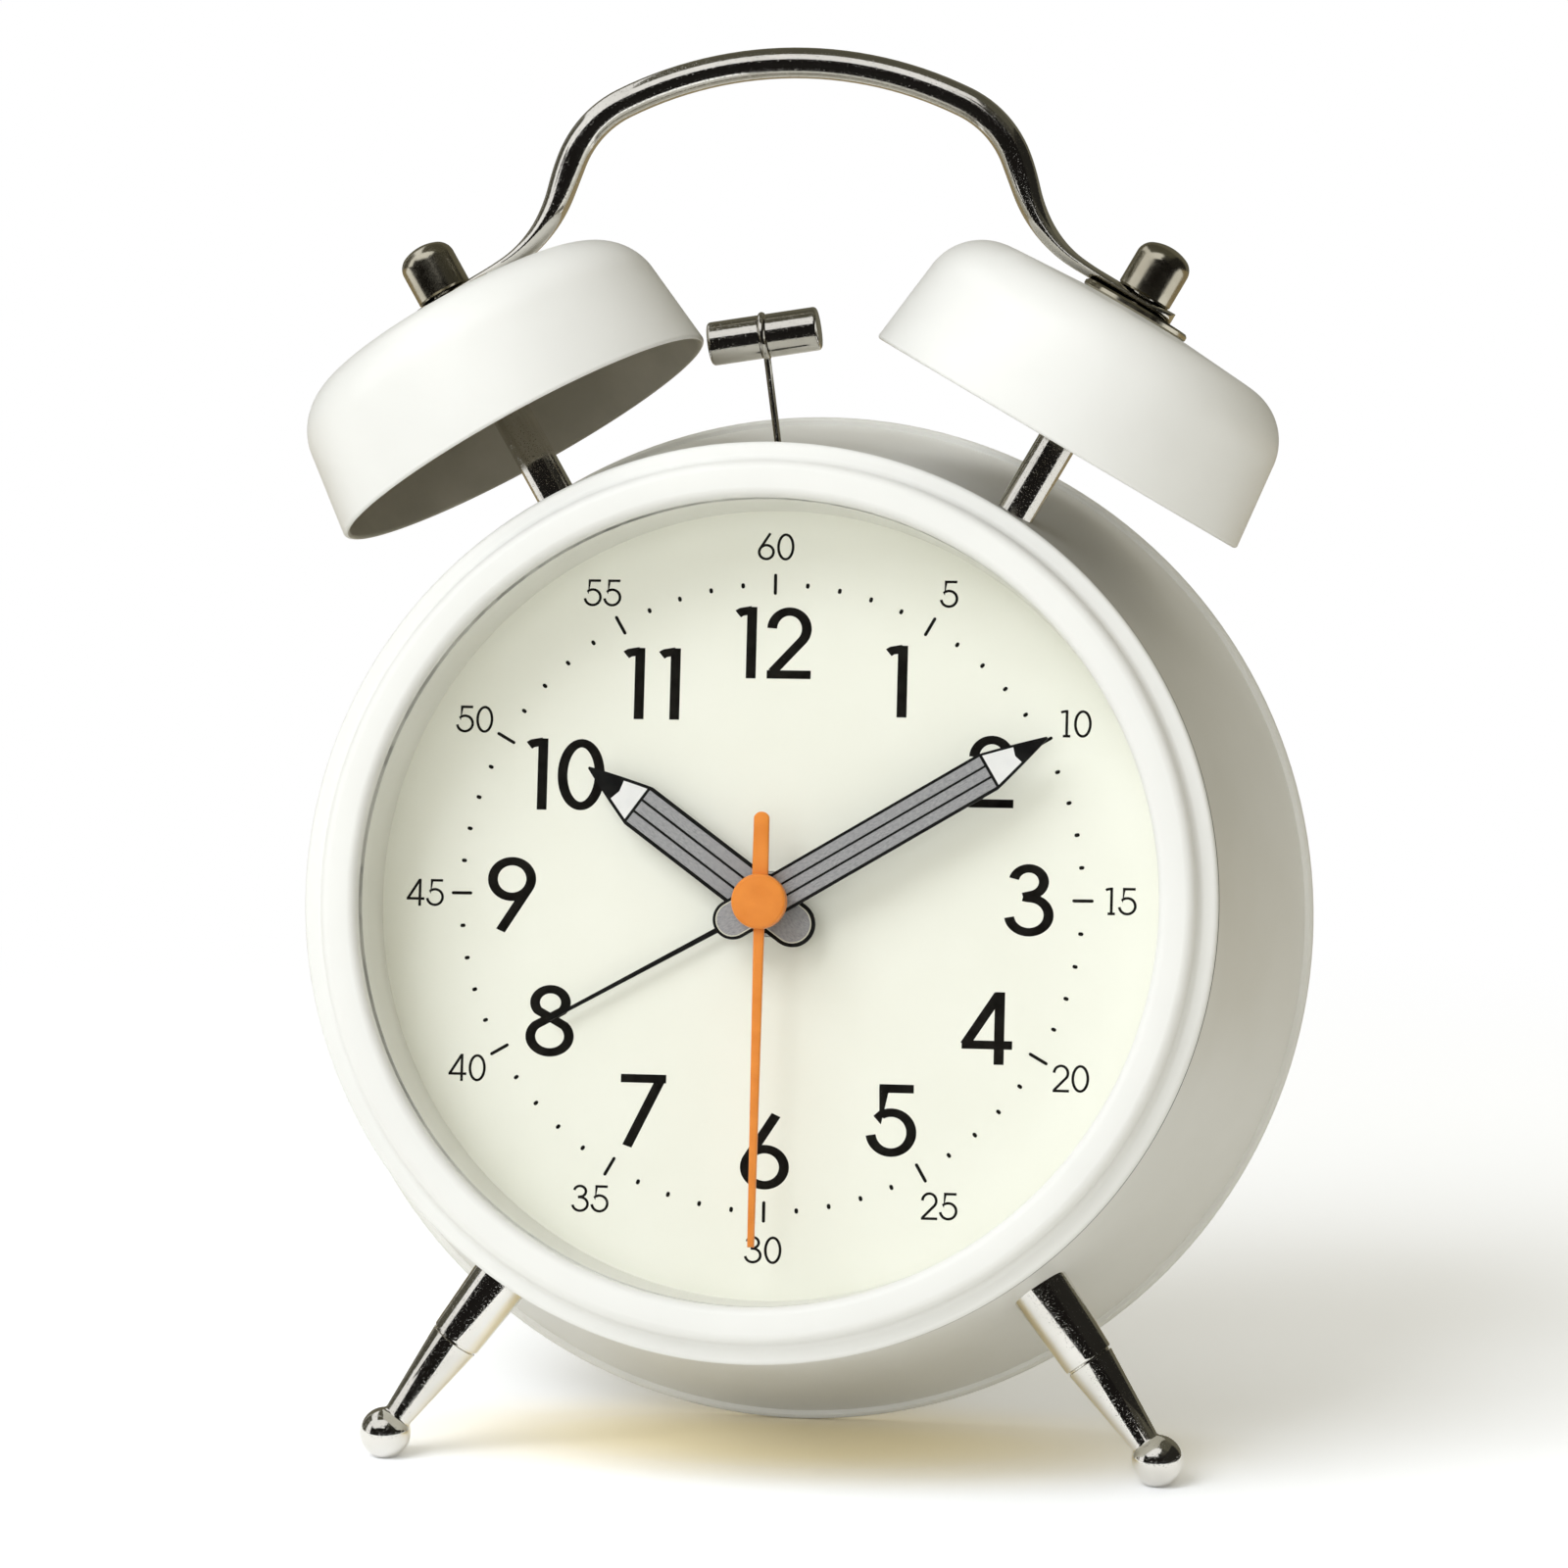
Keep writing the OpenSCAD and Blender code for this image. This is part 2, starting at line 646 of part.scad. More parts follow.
module battery_contacts() color("silver") clock_frame() {
    both() {
        block(tray_x - contact_t, tray_x, tray_low + contact_end, tray_top - contact_end,
            cell_z - leaf_deep / 2, cell_z + leaf_deep / 2);
        block(tray_x - contact_t + slip, tray_x - slip, tray_top - contact_end - slip,
            tray_top + tray_wall + contact_tab_l, cell_z - contact_tab_w / 2, cell_z + contact_tab_w / 2);
        for (y = cell_y) at([0, y], cell_z - leaf_wide / 2) linear_extrude(leaf_wide) polygon([
            [tray_x - contact_t, -leaf_half], [cell_l / 2, 0], [tray_x - contact_t, leaf_half],
            [tray_x - contact_t, leaf_half - leaf_root], [cell_l / 2 + leaf_t, 0],
            [tray_x - contact_t, leaf_root - leaf_half]]);
    }
}

// Straight run of wire between two points
module run(a, b, d) {
    v = b - a;
    translate(a) rotate([0, acos(v[2] / norm(v)), atan2(v[1], v[0])]) cylinder(d = d, h = norm(v));
}
module lead(pts, d) {
    for (i = [0:len(pts) - 2]) run(pts[i], pts[i + 1], d);
    for (i = [1:len(pts) - 2]) translate(pts[i]) sphere(d = bead * d);
}

module lead_wires() color("firebrick") clock_frame() {
    tab_x = tray_x - contact_t / 2;
    tab_y = tray_top + tray_wall + contact_tab_l;
    in_x = box_x - lead_inset;
    in_y = tab_y + 2 * lead_rise;
    both() lead([[tab_x, tab_y, cell_z], [tab_x, tab_y + lead_rise, cell_z],
        [in_x, in_y, cover_z - lead_back], [in_x, in_y, cover_z]], lead_d);
    end_z = plate_z - motor_l;
    out_z = end_z - motor_lead_out;
    end_y = crank_at[1] - motor_lead_low;
    low_y = box_high - lead_inset;
    for (x = [crank_at[0] - motor_lead_half, crank_at[0] + motor_lead_half])
        lead([[x, end_y, end_z], [x, end_y, out_z], [x, low_y, out_z], [x, low_y, cover_z]], lead_d);
}

module alarm_switch() color("dimgray") clock_frame() at(switch_at) {
    block(-switch_neck[0] / 2, switch_neck[0] / 2, -switch_neck[1] / 2, switch_neck[1] / 2,
        cover_rear - fit_gap - weld, cover_front + fit_gap + weld);
    block(-switch_thumb[0] / 2, switch_thumb[0] / 2, -switch_thumb[1] / 2, switch_thumb[1] / 2,
        cover_rear - fit_gap - switch_thumb_h, cover_rear - fit_gap);
    block(-switch_foot[0] / 2, switch_foot[0] / 2, -switch_foot[1] / 2, switch_foot[1] / 2,
        cover_front + fit_gap, cover_front + fit_gap + switch_foot_t);
}

// Movement
module movement_housing() color("white") clock_frame() difference() {
    union() {
        difference() {
            block(-box_x, box_x, box_low, box_high, box_rear, -dial_t);
            block(-box_x + box_wall, box_x - box_wall, box_low + box_wall, box_high - box_wall,
                box_rear - past, box_in);
        }
        for (p = box_screws) at(p) rod(box_boss_d / 2, box_rear, box_in + weld);
        both() block(box_x - weld, ear_reach, -ear_w / 2, ear_w / 2, shelf_z - ear_t, shelf_z);
        rod(bush_r, box_in, bush_proud);
        at(motion_at) rod(pin_r, z_motion - play, box_in + weld);
    }
    rod(alarm_r + run_gap, box_rear, bush_proud + past);
    at(alarm_set_at) rod(pin_r + run_gap, box_in - past, box_in + set_pin_l + play);
    at(time_set_at) rod(pin_r + run_gap, box_in - past, box_in + set_pin_l + play);
    both() at([ear_at, 0]) rod(screw_d / 2 + fit_gap, shelf_z - ear_t - past, shelf_z + past);
    for (p = box_screws) at(p) rod(box_screw_d / 2 + fit_gap, box_rear - past, box_rear + box_screw_l);
}

module movement_cover() color("whitesmoke") clock_frame() difference() {
    union() {
        block(-box_x, box_x, box_low, box_high, cover_z, box_rear);
        at(third_at) rod(pin_r, cover_z, z_centre - play);
        at(third_at) rod(collar_r, cover_z, z_third - hub_t - play);
        at(step_at) rod(pin_r, cover_z, z_second - play);
        at(step_at) rod(collar_r, cover_z, z_step - move_gap);
        at(rotor_at) rod(pin_r, cover_z, z_step - play);
        for (p = stator_seats) at(p) rod(link_w / 2, cover_z, box_rear + stator_lift);
    }
    rod(second_r + run_gap, cover_z - past, box_rear + past);
    at(alarm_set_at) rod(shaft_r + run_gap, cover_z - past, box_rear + past);
    at(time_set_at) rod(shaft_r + run_gap, cover_z - past, box_rear + past);
    for (p = box_screws) at(p) rod(box_screw_d / 2 + fit_gap, cover_z - past, box_rear + past);
}

module movement_screws() color("silver") clock_frame()
    for (p = box_screws) at(p, cover_z) {
        rod(box_screw_d / 2, 0, box_screw_l);
        rod(box_head_d / 2, -box_head_t, 0);
    }

module housing_screws() color("silver") clock_frame()
    both() at([ear_at, 0], shelf_z - ear_t) screw(screw_d, ear_t + shelf_t);

board_x = [3.5, 19.6];
board_y = [-11.5, 5.5];
board_t = 0.8;
chip_r = 3;
chip_h = 0.9;
chip_at = [15.5, 1.4];
crystal_x = [12, 18];
crystal_y = [-9.5, -7.5];
crystal_h = 1.6;
module circuit_board() color("seagreen") clock_frame() difference() {
    union() {
        block(board_x[0], board_x[1], board_y[0], board_y[1], box_rear, box_rear + board_t);
        at(chip_at) rod(chip_r, box_rear + board_t - weld, box_rear + board_t + chip_h);
        block(crystal_x[0], crystal_x[1], crystal_y[0], crystal_y[1],
            box_rear + board_t - weld, box_rear + board_t + crystal_h);
    }
    at(third_at) rod(collar_r + move_gap, box_rear - past, box_rear + board_t + chip_h + past);
}

// Stepping motor: a flat stator round the rotor, with the winding on its lower bar
stator_lift = 1;
stator_t = 0.8;
stator_x = [-22, -3];
stator_y = [-13.5, -1.4];
bar_h = 2;
yoke_h = 7.4;
link_w = 2.4;
seat_y = stator_y[0] + 3;
stator_seats = [[stator_x[0] + link_w / 2, seat_y], [stator_x[1] - link_w / 2, seat_y]];
stator_z = box_rear + stator_lift;
module stator() color("slategray") clock_frame() difference() {
    union() {
        block(stator_x[0], stator_x[1], stator_y[1] - yoke_h, stator_y[1], stator_z, stator_z + stator_t);
        block(stator_x[0], stator_x[1], stator_y[0], stator_y[0] + bar_h, stator_z, stator_z + stator_t);
        for (x = [stator_x[0], stator_x[1] - link_w])
            block(x, x + link_w, stator_y[0], stator_y[1], stator_z, stator_z + stator_t);
    }
    at(rotor_at) rod(rotor_r + 2 * move_gap, stator_z - past, stator_z + stator_t + past);
}

coil_side = 1.3;
coil_end = 0.4;
coil_over = 0.9;
module stepper_coil() color("chocolate") clock_frame() difference() {
    block(stator_x[0] + link_w + coil_end, stator_x[1] - link_w - coil_end, stator_y[0] - coil_side,
        stator_y[0] + bar_h + coil_side, stator_z - coil_over, stator_z + stator_t + coil_over);
    block(stator_x[0], stator_x[1], stator_y[0] - slip, stator_y[0] + bar_h + slip,
        stator_z - slip, stator_z + stator_t + slip);
}

// Wheels
module second_wheel() color("gold") clock_frame() {
    rod(second_r, cover_z, second_hand_z + second_seat);
    gear(second_teeth, mid_m, 0, z_second, wheel_t);
    gear(leaf, fine_m, 0, z_second + wheel_t, pinion_l(z_second, z_third));
}

module third_wheel() color("gold") clock_frame() at(third_at) difference() {
    union() {
        gear(third_teeth, fine_m, third_wheel_a, z_third, wheel_t);
        gear(leaf, centre_m, third_pinion_a, z_third + wheel_t, pinion_l(z_third, z_centre));
        rod(hub_r, z_third - hub_t, z_third);
    }
    rod(pin_r + run_gap, z_third - hub_t - past, z_centre + pinion_t + past);
}

module step_wheel() color("gold") clock_frame() at(step_at) difference() {
    union() {
        gear(step_teeth, fine_m, step_wheel_a, z_step, wheel_t);
        gear(leaf, mid_m, step_pinion_a, z_step + wheel_t, pinion_l(z_step, z_second));
    }
    rod(pin_r + run_gap, z_step - past, z_second + pinion_t + past);
}

module rotor() color("darkslategray") clock_frame() at(rotor_at) difference() {
    union() {
        rod(rotor_r, z_step - rotor_gap - rotor_t, z_step - rotor_gap);
        gear(leaf, fine_m, rotor_a, z_step - rotor_gap, pinion_t);
    }
    rod(pin_r + slip, z_step - rotor_room, z_step + pinion_t + past);
}

module centre_wheel() color("gold") clock_frame() difference() {
    union() {
        gear(centre_teeth, centre_m, centre_a, z_centre, wheel_t);
        gear(cannon_teeth, coarse_m, 0, z_centre + wheel_t, pinion_l(z_centre, z_motion));
        rod(minute_r, z_centre, minute_hand_z + hand_t);
    }
    rod(minute_in, z_centre - past, minute_hand_z + hand_t + past);
}

module motion_wheel() color("gold") clock_frame() at(motion_at) difference() {
    union() {
        gear(motion_teeth, coarse_m, motion_wheel_a, z_motion, wheel_t);
        gear(leaf, coarse_m, motion_pinion_a, z_motion + wheel_t, pinion_l(z_motion, z_hour));
    }
    rod(pin_r + run_gap, z_motion - past, z_hour + pinion_t + past);
}

module hour_wheel() color("gold") clock_frame() difference() {
    union() {
        gear(hour_teeth, coarse_m, hour_a, z_hour, wheel_t);
        rod(hour_r, z_hour, hour_hand_z + hand_t);
    }
    rod(hour_in, z_hour - past, hour_hand_z + hand_t + past);
}

module alarm_wheel() color("gold") clock_frame() difference() {
    union() {
        gear(alarm_teeth, coarse_m, 0, z_alarm, wheel_t);
        rod(alarm_r, z_alarm, alarm_hand_z + hand_t);
    }
    rod(alarm_in, z_alarm - past, alarm_hand_z + hand_t + past);
}

module set_shaft(teeth, phase, z) {
    gear(teeth, coarse_m, phase, z, wheel_t);
    rod(shaft_r, cover_rear - knob_l + knob_end, z);
    rod(pin_r, z, box_in + set_pin_l);
}
module alarm_set_wheel() color("gold") clock_frame()
    at(alarm_set_at) set_shaft(alarm_set_teeth, alarm_set_a, z_alarm);
module time_set_wheel() color("gold") clock_frame()
    at(time_set_at) set_shaft(time_set_teeth, time_set_a, z_motion);

module knob() difference() {
    union() {
        rod(knob_d / 2, cover_rear - move_gap - knob_l, cover_rear - move_gap - knob_foot);
        rod(knob_d / 2 - knob_step, cover_rear - move_gap - knob_foot, cover_rear - move_gap);
    }
    rod(shaft_r + press_gap, cover_rear - knob_l + knob_end, cover_rear + past);
}
module alarm_knob() color("dimgray") clock_frame() at(alarm_set_at) knob();
module time_knob() color("dimgray") clock_frame() at(time_set_at) knob();

// Hands, drawn pointing up and then turned clockwise
module hand(angle, z, hole_r, t = hand_t) rotate([0, 0, -angle]) translate([0, 0, z]) difference() {
    linear_extrude(t) children();
    rod(hole_r + press_gap, -past, t + past);
}
tip_half = 0.15;
module pencil(l, w, cone, tail)
    polygon(concat(
        [[w / 2, l - cone], [tip_half, l], [-tip_half, l], [-w / 2, l - cone]],
        arc([0, -tail], w / 2, 180, 360, 16)));
minute_cone = 7.6;
minute_tail = 3.7;
hour_cone = 6.9;
hour_tail = 3.9;
module minute_hand() color("gray") clock_frame()
    hand(minute_at, minute_hand_z, minute_r) pencil(minute_l, minute_w, minute_cone, minute_tail);
module hour_hand() color("gray") clock_frame()
    hand(hour_at, hour_hand_z, hour_r) pencil(hour_l, hour_w, hour_cone, hour_tail);
alarm_hub_w = 0.9;
alarm_hub_r = alarm_r + alarm_hub_w;
alarm_root = 0.3;
alarm_tip = 0.18;
root_a = 10;
module alarm_hand() color("black") clock_frame() hand(alarm_at, alarm_hand_z, alarm_r)
    polygon(concat(
        [[alarm_root, alarm_hub_r], [alarm_tip, alarm_l],
         [-alarm_tip, alarm_l], [-alarm_root, alarm_hub_r]],
        arc([0, 0], alarm_hub_r, 90 + root_a, 450 - root_a, 34)));
second_hub_r = 3.1;
second_tail = 9.1;
second_tail_w = 1.8;
second_root = 0.62;
second_tip = 0.38;
module second_hand() color("darkorange") clock_frame()
    rotate([0, 0, -second_at]) translate([0, 0, second_hand_z]) difference() {
        union() {
            linear_extrude(hand_t) {
                polygon([[-second_root, 0], [-second_tip, second_l],
                    [second_tip, second_l], [second_root, 0]]);
                translate([-second_tail_w / 2, -second_tail]) square([second_tail_w, second_tail]);
                translate([0, -second_tail]) circle(d = second_tail_w);
            }
            cylinder(r = second_hub_r, h = second_hub_h);
        }
        rod(second_r + press_gap, -past, second_seat);
    }

// Alarm drive
module motor_bracket() color("silver") clock_frame() difference() {
    union() {
        translate([0, 0, plate_z]) linear_extrude(plate_t)
            polygon([[crank_at[0] - plate_half, plate_low], [crank_at[0] + plate_half, plate_low],
                [plate_x, plate_mid], [plate_x, plate_top], [-plate_x, plate_top], [-plate_x, plate_mid]]);
        both() at(stand_at) rod(stand_d / 2, plate_z, shelf_z);
    }
    at(crank_at) rod(nose_r + fit_gap, plate_z - past, plate_z + plate_t + past);
    at(pivot) rod(pin_d / 2 + press_gap, plate_z - past, plate_z + plate_t + past);
    both() at(stand_at) rod(screw_d / 2 + fit_gap, plate_z - past, shelf_z + past);
}

module bracket_screws() color("silver") clock_frame()
    both() at(stand_at, plate_z) screw(screw_d, shelf_z - plate_z + shelf_t);

module alarm_motor() color("lightslategray") clock_frame() at(crank_at) difference() {
    union() {
        rod(motor_d / 2, plate_z - motor_l, plate_z);
        rod(nose_r, plate_z - weld, plate_z + plate_t - play);
    }
    rod(shaft_d / 2 + run_gap, plate_z - shaft_in - past, plate_z + plate_t + past);
}

module motor_crank() color("dimgray") clock_frame() at(crank_at) {
    rod(shaft_d / 2, plate_z - shaft_in, crank_z + weld);
    rod(crank_disc_d / 2, crank_z, crank_z + crank_t);
    at([crank_throw, 0]) rod(crank_pin_d / 2, crank_z + weld, hammer_z + lever_t / 2 + play);
}

module hammer_pin() color("silver") clock_frame() at(pivot) {
    clip_z = hammer_z + lever_t / 2 + play;
    rod(pin_d / 2, plate_z, clip_z + clip_t + pin_end);
    rod(pin_d / 2 + pin_seat, plate_z + plate_t, hammer_z - lever_t / 2 - play);
    rod(pin_d / 2 + clip_w, clip_z, clip_z + clip_t);
}

module hammer_lever() color("silver") clock_frame() hammer_frame() difference() {
    union() {
        rod(lever_hub_r, -lever_t / 2, lever_t / 2);
        block(-lever_half, lever_half, 0, lever_top, -lever_t / 2, lever_t / 2);
        block(-window_w / 2 - window_rim, window_w / 2 + window_rim, -lever_arm - window_h / 2 - window_rim,
            -lever_arm + window_h / 2 + window_rim, -lever_t / 2, lever_t / 2);
        block(-lever_neck, lever_neck, -lever_arm + window_h / 2, 0, -lever_t / 2, lever_t / 2);
    }
    rod(pin_d / 2 + run_gap, -lever_t, lever_t);
    block(-window_w / 2, window_w / 2, -lever_arm - window_h / 2, -lever_arm + window_h / 2,
        -lever_t, lever_t);
    translate([0, lever_top - socket_l, 0]) rotate([-90, 0, 0])
        cylinder(d = wire_d + 2 * press_gap, h = socket_l + past);
}

module hammer_wire() color("silver") clock_frame() hammer_frame() {
    translate([0, lever_top - socket_l, 0]) rotate([-90, 0, 0])
        cylinder(d = wire_d, h = hammer_reach - ring_r - lever_top + socket_l);
    translate([0, hammer_reach, 0]) rotate([0, 90, 0])
        rotate_extrude() translate([ring_r, 0]) circle(d = wire_d);
}

module hammer_head() color("silver") clock_frame() hammer_frame()
    translate([0, hammer_reach, 0]) rotate([0, 90, 0]) difference() {
        rotate_extrude() polygon([
            [0, -head_half], [head_d / 2 - head_chamfer, -head_half], [head_d / 2, -head_half + head_chamfer],
            [head_d / 2, head_half - head_chamfer], [head_d / 2 - head_chamfer, head_half], [0, head_half]]);
        difference() {
            rod(head_d, -wire_d / 2 - fit_gap, wire_d / 2 + fit_gap);
            rod(ring_r - wire_d / 2 - press_gap, -wire_d, wire_d);
        }
    }

// Legs and bells
module leg() difference() {
    union() {
        rod(stud_d / 2, stud_in, groove_reach);
        between(boss_in, groove_reach)
            cylinder(d1 = sleeve_d, d2 = sleeve_end_d, h = groove_reach - groove_w - boss_in);
        rod(sleeve_end_d / 2 - groove_deep, groove_reach - groove_w - fit_gap, groove_reach + fit_gap);
        between(groove_reach, leg_reach)
            cylinder(d1 = sleeve_end_d, d2 = neck_d, h = leg_reach - groove_reach);
        translate([0, 0, leg_reach]) sphere(d = ball_d);
    }
    difference() {
        rod(sleeve_d, boss_in - past, leg_reach);
        rod(stud_d / 2, boss_in - 2 * past, leg_reach + past);
        leg_clear();
    }
}
module leg_clear() difference() {
    rod(sleeve_d + past, boss_in - 2 * past, leg_reach + past);
    rotate([-90, 0, 0]) rotate([0, 0, -leg_tilt]) translate([0, 0, leg_back]) case_solid(slip);
}
module above_floor() difference() {
    children();
    translate([-rim_d / 2, -rim_d / 2, -ball_d]) cube([rim_d, rim_d, ball_d]);
}
module left_leg() color("silver") above_floor() clock_frame() mirror([1, 0, 0]) leg_frame() leg();
module right_leg() color("silver") above_floor() clock_frame() leg_frame() leg();
module nut() difference() {
    between(boss_in - nut_t, boss_in) cylinder(d = nut_w, h = nut_t, $fn = 6);
    rod(stud_d / 2 + press_gap, stud_in, boss_in + past);
}
module leg_nuts() color("silver") clock_frame() both() leg_frame() nut();
module post_nuts() color("silver") clock_frame() both() bell_frame() nut();

module post() {
    rod(stud_d / 2, stud_in, cap_z + cap_h - cap_top_t - play);
    difference() {
        rod(post_d / 2, boss_in, bell_top - bell_wall);
        rotate([90, 0, 0]) rotate([0, 0, bell_tilt]) from_top_frame() case_solid(slip);
    }
}
module left_post() color("silver") clock_frame() mirror([1, 0, 0]) bell_frame() post();
module right_post() color("silver") clock_frame() bell_frame() post();

module bell() difference() {
    rotate_extrude() polygon(bell_pts);
    rod(stud_d / 2 + fit_gap, bell_reach, bell_top + past);
}
module left_bell() color("white") clock_frame() mirror([1, 0, 0]) bell_frame() bell();
module right_bell() color("white") clock_frame() bell_frame() bell();

module handle_washers() color("silver") clock_frame() both() bell_frame() difference() {
    rod(washer_d / 2, bell_top, tab_z);
    rod(stud_d / 2 + fit_gap, bell_top - past, tab_z + past);
}

module cap_nut() difference() {
    rotate_extrude() polygon(concat(
        [[0, cap_z], [cap_d / 2, cap_z]],
        arc([cap_d / 2 - cap_round, cap_z + cap_h - cap_round], cap_round, 0, 90, 6),
        [[0, cap_z + cap_h]]));
    rod(stud_d / 2 + press_gap, cap_z - past, cap_z + cap_h - cap_top_t);
}
module left_cap_nut() color("silver") clock_frame() mirror([1, 0, 0]) bell_frame() cap_nut();
module right_cap_nut() color("silver") clock_frame() bell_frame() cap_nut();

// Rod swept along the path, with its ends flattened into tabs under the cap nuts
module swept_rod(path, d, sides) {
    n = len(path);
    function along(i) = path[min(i + 1, n - 1)] - path[max(i - 1, 0)];
    function side(i) = turn(along(i), 90) / norm(along(i));
    points = [for (i = [0:n - 1]) for (k = [0:sides - 1])
        let (a = 360 * k / sides, o = d / 2 * cos(a) * side(i))
        [path[i][0] + o[0], path[i][1] + o[1], d / 2 * sin(a)]];
    function id(i, k) = i * sides + k % sides;
    skin = [for (i = [0:n - 2]) for (k = [0:sides - 1]) for (f = [
        [id(i, k), id(i + 1, k), id(i, k + 1)], [id(i, k + 1), id(i + 1, k), id(i + 1, k + 1)]]) f];
    ends = [for (k = [1:sides - 2]) for (f = [
        [id(0, 0), id(0, k), id(0, k + 1)], [id(n - 1, 0), id(n - 1, k + 1), id(n - 1, k)]]) f];
    polyhedron(points, concat(skin, ends));
}
module handle_tab() bell_frame() difference() {
    union() {
        translate([foot_side - tab_lap, -tab_w / 2, tab_z])
            cube([tab_over - foot_side + tab_lap - tab_w / 2, tab_w, tab_t]);
        translate([tab_over - tab_w / 2, 0, tab_z]) cylinder(d = tab_w, h = tab_t);
    }
    rod(stud_d / 2 + fit_gap, tab_z - past, tab_z + tab_t + past);
}
module carry_handle() color("silver") clock_frame() {
    top_frame() swept_rod(rod_path, rod_d, rod_sides);
    both() handle_tab();
}

case_drum();
front_bezel();
lens();
dial_surround();
dial();
back_cover();
cover_screws();
movement_housing();
movement_cover();
movement_screws();
housing_screws();
circuit_board();
stepper_coil();
stator();
batteries();
battery_contacts();
lead_wires();
alarm_motor();
motor_bracket();
bracket_screws();
hammer_pin();
left_leg();
right_leg();
leg_nuts();
left_bell();
right_bell();
left_post();
right_post();
post_nuts();
handle_washers();
carry_handle();
left_cap_nut();
right_cap_nut();
second_hand();
second_wheel();
third_wheel();
step_wheel();
rotor();
minute_hand();
centre_wheel();
motion_wheel();
hour_hand();
hour_wheel();
alarm_hand();
alarm_wheel();
alarm_knob();
alarm_set_wheel();
time_knob();
time_set_wheel();
alarm_switch();
hammer_head();
hammer_wire();
hammer_lever();
motor_crank();
battery_door();
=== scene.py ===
import json
import math

import bmesh
import bpy
from mathutils import Matrix, Vector


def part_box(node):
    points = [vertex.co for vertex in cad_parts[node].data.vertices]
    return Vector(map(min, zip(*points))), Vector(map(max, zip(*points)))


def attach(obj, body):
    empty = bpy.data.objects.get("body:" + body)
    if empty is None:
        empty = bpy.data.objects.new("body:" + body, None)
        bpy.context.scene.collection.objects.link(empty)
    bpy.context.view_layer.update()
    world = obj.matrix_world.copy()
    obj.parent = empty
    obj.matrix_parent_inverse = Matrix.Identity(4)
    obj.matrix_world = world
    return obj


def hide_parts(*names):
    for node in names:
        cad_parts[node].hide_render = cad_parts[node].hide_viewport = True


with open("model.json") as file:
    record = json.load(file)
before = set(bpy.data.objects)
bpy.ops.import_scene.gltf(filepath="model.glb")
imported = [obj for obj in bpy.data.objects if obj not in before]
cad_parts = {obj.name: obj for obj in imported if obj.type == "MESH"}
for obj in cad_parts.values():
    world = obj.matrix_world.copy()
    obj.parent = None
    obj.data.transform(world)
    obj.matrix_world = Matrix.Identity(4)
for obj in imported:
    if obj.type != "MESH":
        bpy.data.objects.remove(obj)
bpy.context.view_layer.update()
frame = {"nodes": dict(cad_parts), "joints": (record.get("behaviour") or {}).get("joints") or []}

bpy.context.scene.view_settings.view_transform = "Standard"

# clock frame in millimetres: x to the right, y up the dial, z out of the dial's face
jointOf = {joint["name"]: joint for joint in frame["joints"]}
outOfDial = -Vector(jointOf["second_spin"]["axis"])
toRight = Vector((1, 0, 0))
upDial = outOfDial.cross(toRight)
clockFrame = Matrix((toRight, upDial, outOfDial)).transposed().to_4x4()
clockFrame.translation = Vector(jointOf["second_spin"]["pos_m"])
clockFrame = clockFrame @ Matrix.Scale(0.001, 4)
sides = {"left": -1, "right": 1}


# frame whose z points outwards at an angle from upright, clockwise
def armFrame(base, angle):
    return base @ Matrix.Rotation(math.radians(-angle), 4, "Z") @ Matrix.Rotation(-math.pi / 2, 4, "X")


def ovalPoints(x, y, across, up, start, end, count):
    angles = [math.radians(start + (end - start) * i / count) for i in range(count + 1)]
    return [(x + across * math.cos(a), y + up * math.sin(a)) for a in angles]


def arcPoints(centre, radius, start, end, count):
    return ovalPoints(*centre, radius, radius, start, end, count)


def vertsOf(geom):
    return [part for part in geom if isinstance(part, bmesh.types.BMVert)]


def edgesOf(geom):
    return [part for part in geom if isinstance(part, bmesh.types.BMEdge)]


# spins a line of (radius, height) points round z
def spunShape(profile, steps, closed=False):
    bm = bmesh.new()
    verts = [bm.verts.new((radius, 0, height)) for radius, height in profile]
    edges = [bm.edges.new(pair) for pair in zip(verts, verts[1:])]
    if closed:
        edges.append(bm.edges.new((verts[-1], verts[0])))
    bmesh.ops.spin(bm, geom=verts + edges, cent=(0, 0, 0), axis=(0, 0, 1), angle=math.tau,
                   steps=steps, use_merge=True)
    bmesh.ops.remove_doubles(bm, verts=bm.verts, dist=0.0005)
    faceOut(bm)
    return bm


# plate from a flat outline between two heights
def addPlate(bm, outline, low, high, paint=0):
    face = bm.faces.new([bm.verts.new((x, y, low)) for x, y in outline])
    raised = vertsOf(bmesh.ops.extrude_face_region(bm, geom=[face])["geom"])
    bmesh.ops.translate(bm, vec=(0, 0, high - low), verts=raised)
    touched = {f for vert in raised for f in vert.link_faces} | {face}
    for f in touched:
        f.material_index = paint
    bmesh.ops.recalc_face_normals(bm, faces=list(touched))


def addBox(bm, size, centre):
    verts = bmesh.ops.create_cube(bm, size=1)["verts"]
    bmesh.ops.scale(bm, vec=size, verts=verts)
    bmesh.ops.translate(bm, vec=centre, verts=verts)


# next row of an open shape: its new vertices and edges
def extrudeRow(bm, edges):
    made = bmesh.ops.extrude_edge_only(bm, edges=edges)["geom"]
    verts = vertsOf(made)
    row = set(verts)
    return verts, [edge for edge in edgesOf(made) if row.issuperset(edge.verts)]


def joinShape(bm, shape):
    mesh = bpy.data.meshes.new("joinedShape")
    shape.to_mesh(mesh)
    shape.free()
    bm.from_mesh(mesh)
    bpy.data.meshes.remove(mesh)


